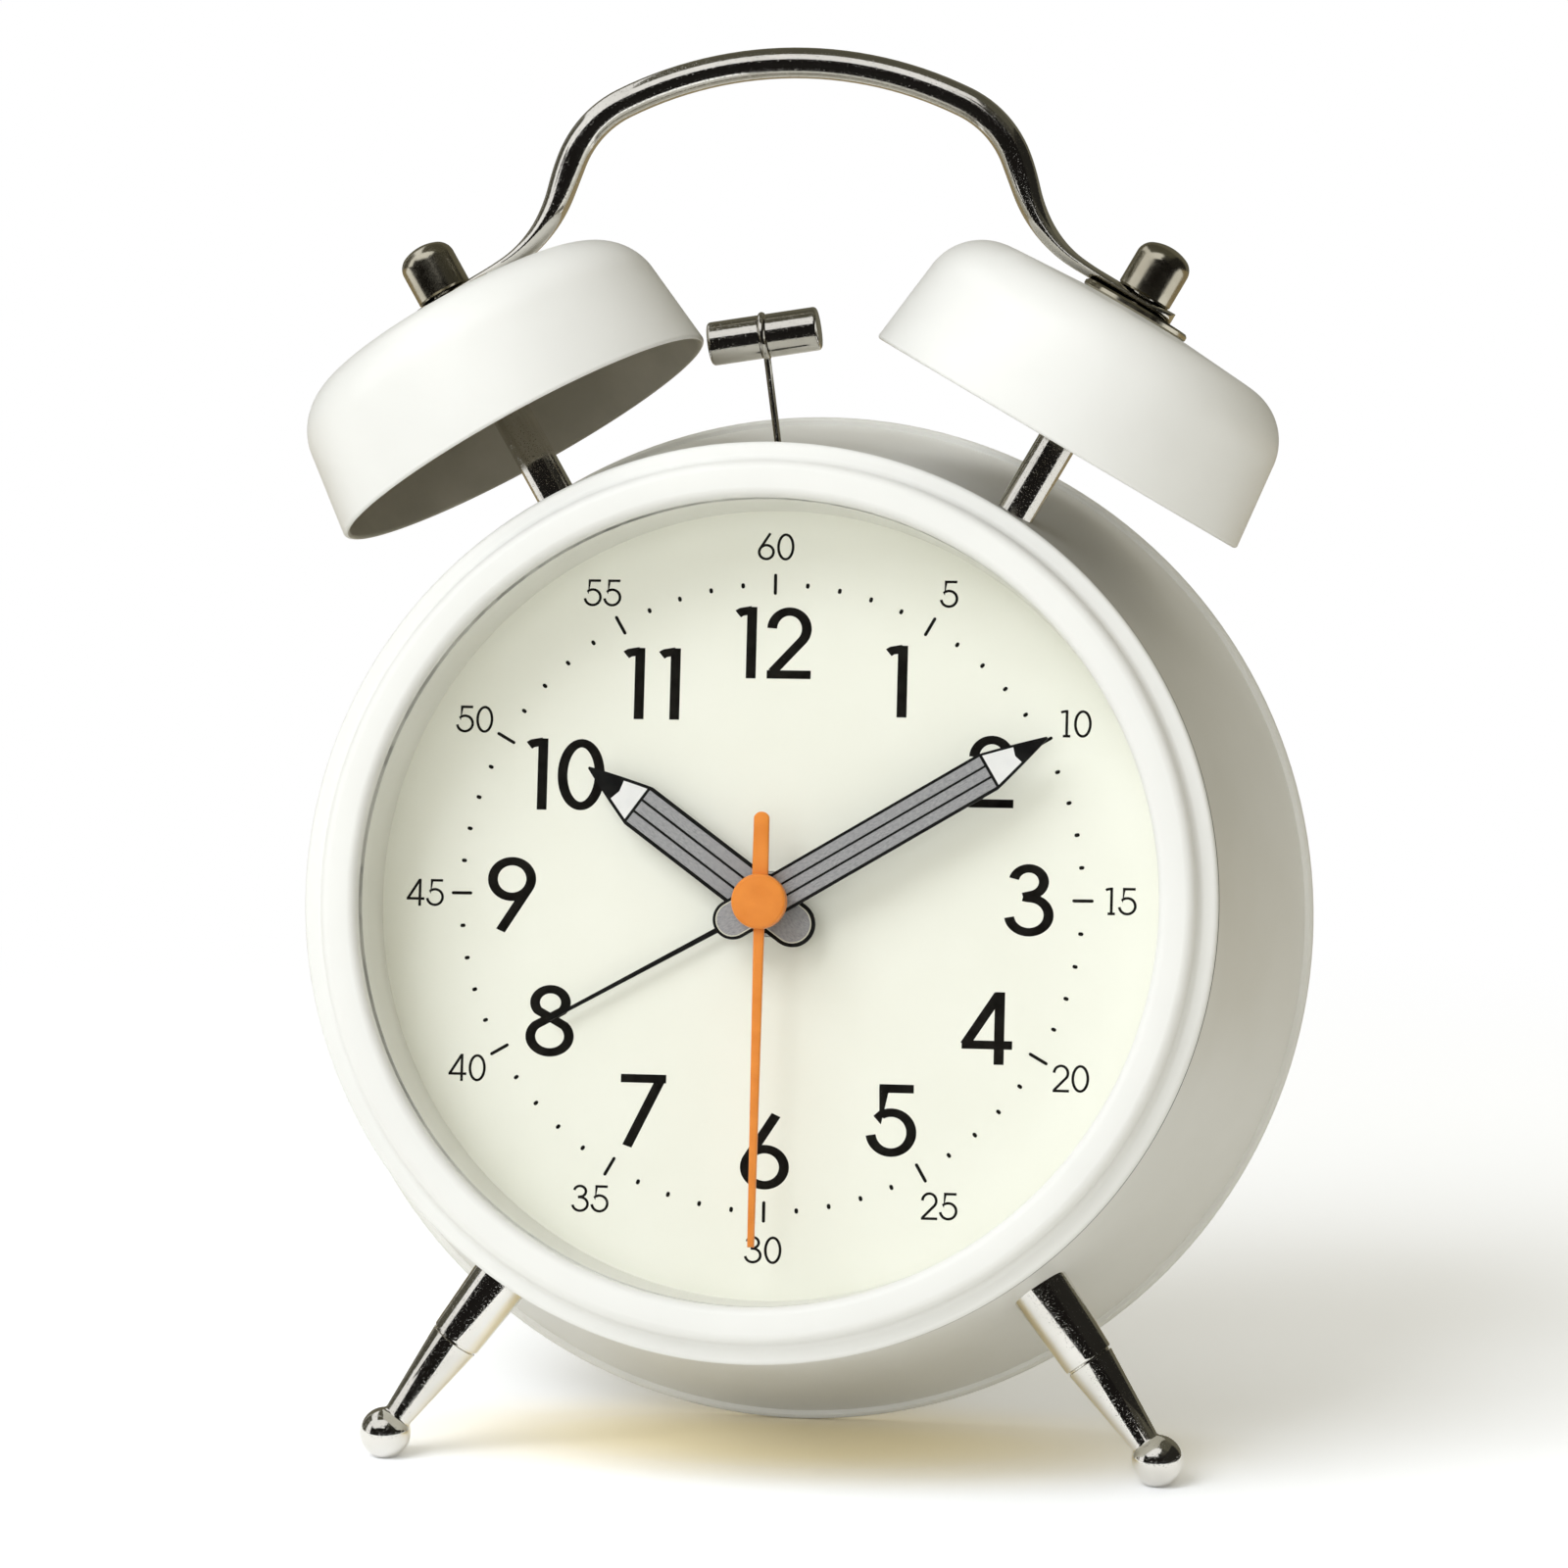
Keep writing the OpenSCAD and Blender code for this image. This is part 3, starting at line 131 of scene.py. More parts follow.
def linkMesh(name, bm, materials):
    mesh = bpy.data.meshes.new(name)
    bm.to_mesh(mesh)
    bm.free()
    for material in materials:
        mesh.materials.append(material)
    piece = bpy.data.objects.new(name, mesh)
    bpy.context.scene.collection.objects.link(piece)
    return piece


def faceOut(bm):
    bmesh.ops.recalc_face_normals(bm, faces=bm.faces)


def roundEdges(bm, edges, offset):
    bmesh.ops.bevel(bm, geom=edges, offset=offset, offset_type="OFFSET", affect="EDGES", segments=3,
                    profile=0.5, material=-1)


def keepPiece(name, bm, place, body, finishNames, stands=(), sharp=35):
    bmesh.ops.transform(bm, matrix=place, verts=bm.verts)
    piece = linkMesh(name, bm, [finish[finishName] for finishName in finishNames])
    piece.data.shade_smooth()
    piece.data.set_sharp_from_angle(angle=math.radians(sharp))
    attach(piece, body)
    if stands:
        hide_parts(*stands)


# materials: each node is added with its constants set on its sockets
def addNode(tree, kind, values=()):
    node = tree.nodes.new(kind)
    for name, value in dict(values).items():
        node.inputs[name].default_value = value
    return node


def startFinish(name):
    material = bpy.data.materials.new(name)
    material.use_nodes = True
    material.node_tree.nodes.clear()
    return material, material.node_tree


def endFinish(tree, surface, kind="ShaderNodeOutputMaterial"):
    tree.links.new(surface, addNode(tree, kind).inputs["Surface"])


# places on the object, unless others are given, scaled along each axis
def scaledBy(tree, scale, place=None):
    mapping = addNode(tree, "ShaderNodeMapping", {"Scale": scale})
    if place is None:
        place = addNode(tree, "ShaderNodeTexCoord").outputs["Object"]
    tree.links.new(place, mapping.inputs["Vector"])
    return mapping.outputs["Vector"]


def grainOf(tree, scale, detail, stretch=(1, 1, 1), place=None):
    grain = addNode(tree, "ShaderNodeTexNoise", {"Scale": scale, "Detail": detail})
    tree.links.new(scaledBy(tree, stretch, place), grain.inputs["Vector"])
    return grain.outputs["Fac"]


def rangeOf(tree, value, start, end, low=0.0, high=1.0, smooth=False):
    limits = {"From Min": start, "From Max": end, "To Min": low, "To Max": high}
    spread = addNode(tree, "ShaderNodeMapRange", limits)
    spread.interpolation_type = "SMOOTHSTEP" if smooth else "LINEAR"
    tree.links.new(value, spread.inputs["Value"])
    return spread.outputs["Result"]


def rampOf(tree, value, dark, light, low=0.0, high=1.0):
    ramp = addNode(tree, "ShaderNodeValToRGB")
    for element, place, colour in zip(ramp.color_ramp.elements, (low, high), (dark, light)):
        element.position = place
        element.color = (*colour, 1)
    tree.links.new(value, ramp.inputs["Fac"])
    return ramp.outputs["Color"]


def mixOf(tree, share, first, second):
    mixed = addNode(tree, "ShaderNodeMixShader")
    for socket, value in zip(mixed.inputs, (share, first, second)):
        tree.links.new(value, socket)
    return mixed.outputs["Shader"]


def tintBy(tree, grain, look, shader, low=0.35, high=0.65):
    tree.links.new(rampOf(tree, grain, look["dark"], look["light"], low, high), shader.inputs["Base Color"])


def glossBy(tree, grain, look, shader, low=0.3, high=0.7):
    tree.links.new(rangeOf(tree, grain, low, high, look["smooth"], look["rough"]), shader.inputs["Roughness"])


def bumpBy(tree, height, look, shader):
    bump = addNode(tree, "ShaderNodeBump", {"Distance": look["depth"], "Strength": look["strength"]})
    tree.links.new(height, bump.inputs["Height"])
    tree.links.new(bump.outputs["Normal"], shader.inputs["Normal"])


# colour mottled between two tones, gloss between two levels, and a fine surface relief
def workedFinish(name, look):
    material, tree = startFinish(name)
    shader = addNode(tree, "ShaderNodeBsdfPrincipled", {
        "Metallic": look.get("metal", 0.0), "Coat Weight": look.get("coat", 0.0),
        "Coat Roughness": look.get("coatGloss", 0.1), "Specular IOR Level": look.get("specular", 0.5)})
    stretch = look.get("stretch", (1, 1, 1))
    mottle = grainOf(tree, look["mottle"], 3.0, stretch)
    tintBy(tree, mottle, look, shader)
    glossBy(tree, mottle, look, shader)
    bumpBy(tree, grainOf(tree, look["relief"], 4.0, stretch), look, shader)
    endFinish(tree, shader.outputs["BSDF"])
    return material


finishes = {
    "whiteEnamel": dict(dark=(0.84, 0.84, 0.825), light=(0.865, 0.865, 0.85), mottle=60, smooth=0.3,
                        rough=0.4, relief=900, depth=3e-5, strength=0.12, coat=0.08, coatGloss=0.22,
                        specular=0.4),
    # darker, warmer paint for the inside of the bells: painted shade in their hollow
    "bellInsideShade": dict(dark=(0.40, 0.375, 0.31), light=(0.47, 0.44, 0.37), mottle=120, smooth=0.5, rough=0.65,
                       relief=1200, depth=4e-5, strength=0.25, specular=0.25),
    "caseEnamel": dict(dark=(0.79, 0.785, 0.75), light=(0.82, 0.815, 0.785), mottle=60, smooth=0.38,
                       rough=0.48, relief=900, depth=3e-5, strength=0.15, specular=0.3),
    "dialCream": dict(dark=(0.90, 0.905, 0.815), light=(0.915, 0.92, 0.835), mottle=90, smooth=0.55,
                      rough=0.7, relief=2500, depth=2e-5, strength=0.15, specular=0.2),
    "ringWhite": dict(dark=(0.80, 0.80, 0.755), light=(0.83, 0.83, 0.79), mottle=80, smooth=0.4, rough=0.5,
                      relief=1800, depth=2e-5, strength=0.2),
    "brightSteel": dict(dark=(0.50, 0.49, 0.47), light=(0.62, 0.61, 0.59), mottle=900, smooth=0.18,
                        rough=0.34, relief=3000, depth=2e-5, strength=0.3, metal=1.0),
    "zincSteel": dict(dark=(0.42, 0.42, 0.41), light=(0.56, 0.56, 0.55), mottle=500, smooth=0.3, rough=0.48,
                      relief=2500, depth=2e-5, strength=0.35, metal=1.0),
    "palePlastic": dict(dark=(0.68, 0.68, 0.655), light=(0.72, 0.72, 0.70), mottle=70, smooth=0.42,
                        rough=0.55, relief=2600, depth=6e-5, strength=0.4),
    "doorPlastic": dict(dark=(0.64, 0.64, 0.615), light=(0.68, 0.68, 0.66), mottle=80, smooth=0.42,
                        rough=0.55, relief=2600, depth=6e-5, strength=0.4),
    "darkPlastic": dict(dark=(0.022, 0.022, 0.024), light=(0.035, 0.035, 0.037), mottle=150, smooth=0.36,
                        rough=0.5, relief=2400, depth=5e-5, strength=0.35),
    "blackPaint": dict(dark=(0.006, 0.006, 0.006), light=(0.012, 0.012, 0.011), mottle=500, smooth=0.42,
                       rough=0.6, relief=3000, depth=1e-5, strength=0.2, specular=0.15),
    "printBlack": dict(dark=(0.006, 0.005, 0.004), light=(0.012, 0.011, 0.009), mottle=700, smooth=0.5,
                       rough=0.65, relief=3000, depth=1e-5, strength=0.1, specular=0.1),
    "coneWhite": dict(dark=(0.80, 0.80, 0.80), light=(0.85, 0.85, 0.845), mottle=600, smooth=0.45, rough=0.6,
                      relief=3000, depth=1e-5, strength=0.15),
    "tailRim": dict(dark=(0.62, 0.61, 0.50), light=(0.70, 0.69, 0.58), mottle=600, smooth=0.45, rough=0.6,
                    relief=3000, depth=1e-5, strength=0.15),
    "satinOrange": dict(dark=(0.78, 0.235, 0.025), light=(0.85, 0.275, 0.035), mottle=400, smooth=0.32,
                        rough=0.45, relief=2600, depth=2e-5, strength=0.2, coat=0.15, coatGloss=0.3),
    "wheelBrass": dict(dark=(0.56, 0.40, 0.15), light=(0.70, 0.53, 0.24), mottle=600, smooth=0.25, rough=0.42,
                       relief=2500, depth=2e-5, strength=0.3, metal=1.0),
    "sinteredMagnet": dict(dark=(0.05, 0.05, 0.052), light=(0.09, 0.09, 0.092), mottle=1500, smooth=0.45,
                           rough=0.6, relief=3000, depth=3e-5, strength=0.4, metal=0.6),
    "boardGreen": dict(dark=(0.012, 0.10, 0.045), light=(0.02, 0.16, 0.07), mottle=500, smooth=0.3,
                       rough=0.45, relief=1800, depth=3e-5, strength=0.3),
    "copperWinding": dict(dark=(0.33, 0.13, 0.05), light=(0.55, 0.25, 0.10), mottle=1200, smooth=0.3,
                          rough=0.42, relief=1600, depth=6e-5, strength=0.7, metal=0.8, stretch=(6, 1, 1)),
    "cellSleeve": dict(dark=(0.035, 0.05, 0.075), light=(0.055, 0.075, 0.105), mottle=120, smooth=0.25,
                       rough=0.36, relief=1200, depth=2e-5, strength=0.2, coat=0.3),
    "leadRed": dict(dark=(0.42, 0.02, 0.015), light=(0.55, 0.035, 0.025), mottle=300, smooth=0.35, rough=0.48,
                    relief=1800, depth=2e-5, strength=0.3),
}
finish = {name: workedFinish(name, look) for name, look in finishes.items()}


# plated metal: nearly a mirror, with tiny pits and faint rubbed patches
def platedFinish(name, look):
    material, tree = startFinish(name)
    shader = addNode(tree, "ShaderNodeBsdfPrincipled", {"Metallic": 1.0})
    tintBy(tree, grainOf(tree, look["patches"], 2.0), look, shader)
    glossBy(tree, grainOf(tree, look["rubbed"], 4.0), look, shader)
    bumpBy(tree, rangeOf(tree, grainOf(tree, look["pits"], 1.0), *look["sparse"]), look, shader)
    endFinish(tree, shader.outputs["BSDF"])
    return material


platings = {
    "platedChrome": dict(dark=(0.68, 0.66, 0.61), light=(0.78, 0.76, 0.71), patches=140, rubbed=700,
                         smooth=0.04, rough=0.14, pits=6000, sparse=(0.62, 0.78), depth=3e-5, strength=0.35),
    # cap nuts and washers: a duller, warmer nickel, whose darker colour is also a painted dark reflection
    "dullNickelPaintedReflection": dict(dark=(0.47, 0.435, 0.34), light=(0.60, 0.565, 0.46), patches=160, rubbed=800,
                       smooth=0.15, rough=0.27, pits=2600, sparse=(0.66, 0.8), depth=2e-5, strength=0.2),
}
finish.update({name: platedFinish(name, look) for name, look in platings.items()})


# grey barrel bands with a fine grain along the hand, which the UV map follows
def barrelFinish(look):
    material, tree = startFinish("barrelGrey")
    shader = addNode(tree, "ShaderNodeBsdfPrincipled")
    surface = addNode(tree, "ShaderNodeUVMap")
    surface.uv_map = look["map"]
    grain = grainOf(tree, look["scale"], 5.0, look["stretch"], surface.outputs["UV"])
    tintBy(tree, grain, look, shader, *look["spread"])
    glossBy(tree, grain, look, shader)
    bumpBy(tree, grain, look, shader)
    endFinish(tree, shader.outputs["BSDF"])
    return material


barrelLook = dict(map="handMap", stretch=(6, 1.5, 1), scale=1.4, dark=(0.24, 0.24, 0.25),
                  light=(0.40, 0.40, 0.41), spread=(0.3, 0.7), smooth=0.45, rough=0.6, depth=1e-5,
                  strength=0.2)
finish["barrelGrey"] = barrelFinish(barrelLook)


# clear lens: see-through, with a polished face that mirrors more towards its edges
def lensFinish(look):
    material, tree = startFinish("clearLens")
    shader = addNode(tree, "ShaderNodeBsdfPrincipled", {"Base Color": (*look["colour"], 1), "Metallic": 1.0})
    glossBy(tree, grainOf(tree, look["haze"], 2.0), look, shader)
    clear = addNode(tree, "ShaderNodeBsdfTransparent")
    facing = addNode(tree, "ShaderNodeLayerWeight").outputs["Facing"]
    share = rangeOf(tree, facing, look["edge"], 1.0, *look["mirror"], smooth=True)
    endFinish(tree, mixOf(tree, share, clear.outputs["BSDF"], shader.outputs["BSDF"]))
    return material


lensLook = dict(colour=(0.95, 0.95, 0.95), edge=0.5, mirror=(0.02, 0.5), haze=40, smooth=0.0, rough=0.02)
finish["clearLens"] = lensFinish(lensLook)
print("finishes made:", len(finish))

# case: flared side, rolled rear rim and the shelf for the dial, with a slot for the hammer's wire
caseShell = dict(frontRadius=50.9, rearRadius=59.3, curve=1.9, wall=1.0, front=9.0, rear=-34.0,
                 rollCentre=(58.8, -33.1), rollRadius=0.9, rollMeet=0.8, rollTurn=(62, -240),
                 shelf=(45.0, -2.0, -0.6), shelfGap=0.3, slot=(-7.3, -4.7), slotHalf=4.1, rows=30, rowGap=0.5,
                 steps=180)


def sideRadius(z):
    share = (caseShell["front"] - z) / (caseShell["front"] - caseShell["rear"])
    straight = caseShell["frontRadius"] + (caseShell["rearRadius"] - caseShell["frontRadius"]) * share
    return straight - caseShell["curve"] * 4 * share * (1 - share)


def makeCase(look):
    last = look["rollCentre"][1] + look["rollMeet"] * look["rollRadius"]
    heights = [look["front"] + (last - look["front"]) * i / look["rows"] for i in range(look["rows"] + 1)]
    heights = [z for z in heights if min(abs(z - s) for s in look["slot"]) > look["rowGap"]]
    heights = sorted(heights + list(look["slot"]), reverse=True)
    outer = [(sideRadius(z), z) for z in heights]
    inner = [(sideRadius(z) - look["wall"], z) for z in reversed(heights)]
    shelfIn, shelfLow, shelfHigh = look["shelf"]
    behind = [point for point in inner if point[1] < shelfLow - look["shelfGap"]]
    ahead = [point for point in inner if point[1] > shelfHigh + look["shelfGap"]]
    step = [(sideRadius(shelfLow) - look["wall"], shelfLow), (shelfIn, shelfLow), (shelfIn, shelfHigh),
            (sideRadius(shelfHigh) - look["wall"], shelfHigh)]
    roll = arcPoints(look["rollCentre"], look["rollRadius"], *look["rollTurn"], 24)
    bm = spunShape(outer + roll + behind + step + ahead, look["steps"], closed=True)
    low, high = look["slot"]
    slotFaces = []
    for face in bm.faces:
        centre = face.calc_center_median()
        away = abs(math.degrees(math.atan2(centre.x, centre.y)))
        if away < look["slotHalf"] and low < centre.z < high:
            slotFaces.append(face)
    bmesh.ops.delete(bm, geom=slotFaces, context="FACES")
    bmesh.ops.bridge_loops(bm, edges=[edge for edge in bm.edges if edge.is_boundary])
    faceOut(bm)
    keepPiece("caseShell", bm, clockFrame, "case", ["caseEnamel"], ["case_drum"])


makeCase(caseShell)

# bezel: broad crown, a narrow cove and a lip over a skirt inside the case
bezelRing = dict(opening=44.7, lensTop=11.0, inner=((45.8, 11.95), 1.1), outer=((47.45, 11.75), 1.35),
                 cove=((49.75, 11.6), 0.95), lip=((50.4, 9.75), 0.7), low=9.15, skirt=(49.6, 48.7, 3.0),
                 steps=200)


def makeBezel(look):
    arcs = dict(inner=(180, 95, 10), outer=(85, 0, 14), cove=(180, 265, 12), lip=(90, -60, 12))
    outerSkirt, innerSkirt, skirtLow = look["skirt"]
    profile = [(look["opening"], look["lensTop"])]
    for part, arc in arcs.items():
        profile += arcPoints(*look[part], *arc)
    profile += [(outerSkirt, look["low"]), (outerSkirt, skirtLow), (innerSkirt, skirtLow),
                (innerSkirt, look["lensTop"])]
    bm = spunShape(profile, look["steps"], closed=True)
    keepPiece("bezelRing", bm, clockFrame, "case", ["whiteEnamel"], ["front_bezel"])


makeBezel(bezelRing)

# a thin dark ring in the seam between bezel and case: painted shade for the seam's shadow line
seamShadeRing = dict(radius=51.02, height=9.07, thick=0.1)
seamShadeProfile = arcPoints((seamShadeRing["radius"], seamShadeRing["height"]), seamShadeRing["thick"], 0, 330, 11)
keepPiece("bezelSeamShade", spunShape(seamShadeProfile, 200, closed=True), clockFrame, "case",
          ["darkPlastic"])
print("case and bezel made")

# bells: cups with a rounded shoulder and a turned edge, leaning out to each side
bellCup = dict(tilt=30.0, lean=4.5, depth=-6.0, rim=(23.6, 61.4), neck=22.5, shoulder=7.0, top=78.4, drop=0.6,
               flat=7.6, wall=0.8, hole=1.8, steps=160)
washerDisc = dict(radius=6.6, hole=1.8, low=78.4, high=79.3, edge=0.25)
capNut = dict(radius=3.25, low=80.7, high=86.95, edge=0.2, round=1.9, meet=66)

# the bells and the handle lean towards the front, about the line through both rims' centres
rimHigh = bellCup["rim"][1] * math.cos(math.radians(bellCup["tilt"]))
topFrame = clockFrame @ Matrix.Translation((0, rimHigh, bellCup["depth"]))
topFrame = topFrame @ Matrix.Rotation(math.radians(bellCup["lean"]), 4, "X")
topFrame = topFrame @ Matrix.Translation((0, -rimHigh, 0))


def bellLine(look, inset):
    centre = (look["neck"] - look["shoulder"], look["top"] - look["drop"] - look["shoulder"])
    shoulder = arcPoints(centre, look["shoulder"] - inset, 4, 86, 22)
    return [(look["rim"][0] - inset, look["rim"][1] + look["wall"] / 2)] + shoulder + [
        (look["flat"], look["top"] - inset), (look["hole"], look["top"] - inset)]


def makeBell(name, place, look):
    (rimRadius, rimHeight), half = look["rim"], look["wall"] / 2
    edge = arcPoints((rimRadius - half, rimHeight + half), half, 180, 360, 8)
    outside, inside = bellLine(look, 0), bellLine(look, look["wall"])
    bm = spunShape(outside[::-1] + edge[::-1][1:-1] + inside, look["steps"], closed=True)
    # faces inside the cup take the darker inside paint, which is painted shade for the hollow
    for face in bm.faces:
        centre, normal = face.calc_center_median(), face.normal
        roof = normal.z < -0.3 and centre.z > rimHeight + 3
        face.material_index = 1 if roof or normal.xy.dot(centre.xy) < -0.05 else 0
    keepPiece(name + "BellCup", bm, place, "case", ["whiteEnamel", "bellInsideShade"],
              [name + "_bell"])


def makeWasher(name, place, look, stands):
    radius, hole, low, high, edge = (look[key] for key in ("radius", "hole", "low", "high", "edge"))
    bm = spunShape([(hole, low), (radius - edge, low), (radius, low + edge), (radius, high - edge),
                    (radius - edge, high), (hole, high)], 96, closed=True)
    keepPiece(name + "Washer", bm, place, "case", ["dullNickelPaintedReflection"], stands)


def makeCapNut(name, place, look):
    radius, low, edge, turn = (look[key] for key in ("radius", "low", "edge", "meet"))
    inset, meet = radius - look["round"], math.radians(turn)
    crownRadius = inset / math.cos(meet) + look["round"]
    crownLow = look["high"] - crownRadius
    dome = arcPoints((inset, crownLow + inset * math.tan(meet)), look["round"], 0, turn, 14)
    crown = arcPoints((0, crownLow), crownRadius, turn, 90, 10)[1:]
    bm = spunShape([(0, low), (radius - edge, low), (radius, low + edge)] + dome + crown, 96)
    keepPiece(name + "CapNut", bm, place, "case", ["dullNickelPaintedReflection"], [name + "_cap_nut"])


for sideName, side in sides.items():
    bellPlace = armFrame(topFrame, side * bellCup["tilt"])
    makeBell(sideName, bellPlace, bellCup)
    makeWasher(sideName, bellPlace, washerDisc, ["handle_washers"] if side < 0 else ())
    makeCapNut(sideName, bellPlace, capNut)
print("bells made")

# handle: one rod bent into an arch, flattened at both ends under the cap nuts
handleRod = dict(radius=1.75, top=96.4, arch=(45.0, 26.0), shoulder=12.0, slope=69.0, bend=15.0, tilt=30.0,
                 rest=81.1, tabHigh=80.7, tabThick=1.4, tabWide=6.0, tabEnd=4.2, flatRun=3.0, endTurn=14.5,
                 rows=dict(ring=36, arch=14, shoulder=12, leg=6, bend=16, flat=4, end=6))


# directions along and above a heading in the x-y plane
def alongAbove(heading):
    turn = math.radians(heading)
    return Vector((math.cos(turn), math.sin(turn), 0)), Vector((-math.sin(turn), math.cos(turn), 0))


def makeHandle(look):
    (archRadius, archTurn), rows = look["arch"], look["rows"]
    acrossTab, upTab = alongAbove(-look["tilt"])
    bm = bmesh.new()
    ring = bmesh.ops.create_circle(bm, segments=rows["ring"], radius=look["radius"])["verts"]
    bmesh.ops.rotate(bm, verts=ring, cent=(0, 0, 0), matrix=Matrix.Rotation(math.pi / 2, 3, "Y"))
    bmesh.ops.translate(bm, verts=ring, vec=(0, look["top"], 0))
    end = bm.verts[:] + bm.edges[:]
    heading = 0.0

    def endCentre():
        return sum((vert.co for vert in vertsOf(end)), Vector()) / rows["ring"]

    def spinEnd(centre, turn, steps):
        nonlocal end, heading
        end = bmesh.ops.spin(bm, geom=end, cent=centre, axis=(0, 0, 1), angle=math.radians(turn),
                             steps=steps)["geom_last"]
        heading += turn

    def bendBy(radius, turn, steps):
        above = alongAbove(heading)[1]
        spinEnd(endCentre() + above * math.copysign(radius, turn), turn, steps)

    def runBy(step):
        nonlocal end
        verts, edges = extrudeRow(bm, edgesOf(end))
        end = verts + edges
        bmesh.ops.translate(bm, verts=verts, vec=step)

    def squeeze(thick, wide):  # keeps the underside where it is
        middle = endCentre()
        along, above = alongAbove(heading)
        low = min((vert.co - middle).dot(above) for vert in vertsOf(end))
        for vert in vertsOf(end):
            off = vert.co - middle
            high = low + (off.dot(above) - low) * thick
            vert.co = middle + above * high + Vector((0, 0, off.z * wide)) + along * off.dot(along)

    bendBy(archRadius, -archTurn, rows["arch"])
    bendBy(look["shoulder"], archTurn - look["slope"], rows["shoulder"])
    down, aside = alongAbove(-look["slope"])
    run = ((endCentre() + look["bend"] * (aside - upTab)).dot(upTab) - look["rest"]) / -down.dot(upTab)
    bendCentre = endCentre() + down * run + aside * look["bend"]
    turn = look["slope"] - look["tilt"]
    bent = look["bend"] * math.radians(turn)
    tabMiddle = look["tabHigh"] - look["tabThick"] / 2
    flat = Vector((look["tabThick"], look["tabWide"])) / (2 * look["radius"])
    now = Vector((1, 1))

    def flattenTo(length):  # from the round rod to the tab
        nonlocal now
        part = length / (run + bent + look["flatRun"])
        then = Vector((1, 1)).lerp(flat, part * part * (3 - 2 * part))
        squeeze(then.x / now.x, then.y / now.y)
        now = then

    for i in range(rows["leg"]):
        runBy(down * run / rows["leg"])
        flattenTo(run * (i + 1) / rows["leg"])
    for i in range(rows["bend"]):
        spinEnd(bendCentre, turn / rows["bend"], 1)
        flattenTo(run + bent * (i + 1) / rows["bend"])
    for i in range(rows["flat"]):
        runBy(acrossTab * look["flatRun"] / rows["flat"])
        flattenTo(run + bent + look["flatRun"] * (i + 1) / rows["flat"])
    halfWide = look["tabWide"] / 2
    straight = look["tabEnd"] - halfWide - endCentre().dot(acrossTab)
    runBy(acrossTab * straight + upTab * (tabMiddle - endCentre().dot(upTab)))
    before = 0.0
    for i in range(rows["end"]):  # round end of the tab
        turn = math.radians(look["endTurn"] * (i + 1))
        runBy(acrossTab * halfWide * (math.sin(turn) - math.sin(before)))
        squeeze(1.0, math.cos(turn) / math.cos(before))
        before = turn
    bmesh.ops.contextual_create(bm, geom=edgesOf(end))
    geom = bm.verts[:] + bm.edges[:] + bm.faces[:]
    bmesh.ops.mirror(bm, geom=geom, axis="X", merge_dist=0.01)
    bmesh.ops.remove_doubles(bm, verts=bm.verts, dist=0.002)
    faceOut(bm)
    keepPiece("handleRod", bm, topFrame, "case", ["platedChrome"], ["carry_handle"])


makeHandle(handleRod)

# legs: tapered sleeve, groove, cone and ball, cut level where they stand
legTurning = dict(tilt=35.9, depth=-9.0, start=50.3, sleeve=(3.5, 49.1), groove=62.4, sleeveEnd=2.95,
                  grooveLine=((0.05, -0.55), (0, -0.35), (-0.3, -0.25), (-0.3, -0.1), (-0.06, 0), (-0.12, 0.4)),
                  neck=1.7, neckEnd=0.25, meet=1.83, ball=(75.7, 2.95), steps=72)


def makeLeg(sideName, side, look):
    place = armFrame(clockFrame @ Matrix.Translation((0, 0, look["depth"])), side * (180 - look["tilt"]))
    sleeveRadius, sleeveStart = look["sleeve"]
    groove, end = look["groove"], look["sleeveEnd"]
    share = (look["start"] - sleeveStart) / (groove - sleeveStart)
    startRadius = sleeveRadius + (end - sleeveRadius) * share
    ballHeight, ballRadius = look["ball"]
    meet = 180 + math.degrees(math.asin(look["meet"] / ballRadius))
    ball = arcPoints((0, ballHeight), ballRadius, meet - 270, 90, 28)
    profile = [(0, look["start"]), (startRadius, look["start"])]
    profile += [(end + out, groove + along) for out, along in look["grooveLine"]]
    profile += [(look["neck"], ball[0][1] - look["neckEnd"])] + ball
    bm = spunShape(profile, look["steps"])
    bmesh.ops.transform(bm, matrix=place, verts=bm.verts)
    cut = bmesh.ops.bisect_plane(bm, geom=bm.verts[:] + bm.edges[:] + bm.faces[:], dist=1e-7,
                                 plane_co=(0, 0, 0), plane_no=(0, 0, -1), clear_outer=True)
    bmesh.ops.contextual_create(bm, geom=edgesOf(cut["geom_cut"]))
    faceOut(bm)
    keepPiece(sideName + "LegTurning", bm, Matrix.Identity(4), "case", ["platedChrome"],
              [sideName + "_leg"])


for sideName, side in sides.items():
    makeLeg(sideName, side, legTurning)
print("handle and legs made")

# hammer head: a short rod with rounded ends and a groove for the wire
hammerHead = dict(pivot=(1.2, 37.0, -6.0), lean=8.7, reach=28.64, half=6.4, radius=2.5, round=0.45, groove=0.5,
                  grooveFloor=1.95)


def makeHammer(look):
    lean = Matrix.Rotation(math.radians(look["lean"]), 4, "Z")
    place = clockFrame @ Matrix.Translation(look["pivot"]) @ lean
    place = place @ Matrix.Translation((0, look["reach"], 0)) @ Matrix.Rotation(math.pi / 2, 4, "Y")
    half, radius, roundOf, gap = look["half"], look["radius"], look["round"], look["groove"]
    first = [(0, -half)] + arcPoints((radius - roundOf, roundOf - half), roundOf, -90, 0, 6)
    first += [(radius, -gap), (look["grooveFloor"], -gap)]
    second = [(x, -y) for x, y in reversed(first)]
    bm = spunShape(first + second, 72)
    keepPiece("hammerHead", bm, place, "hammer", ["platedChrome"], ["hammer_head"])


makeHammer(hammerHead)


# hands: pencils with a black outline, grey bands, a pale cone and a black point
def handFrame(look):
    turn = Matrix.Rotation(math.radians(-look["angle"]), 4, "Z")
    return clockFrame @ Matrix.Translation((0, 0, look["height"])) @ turn


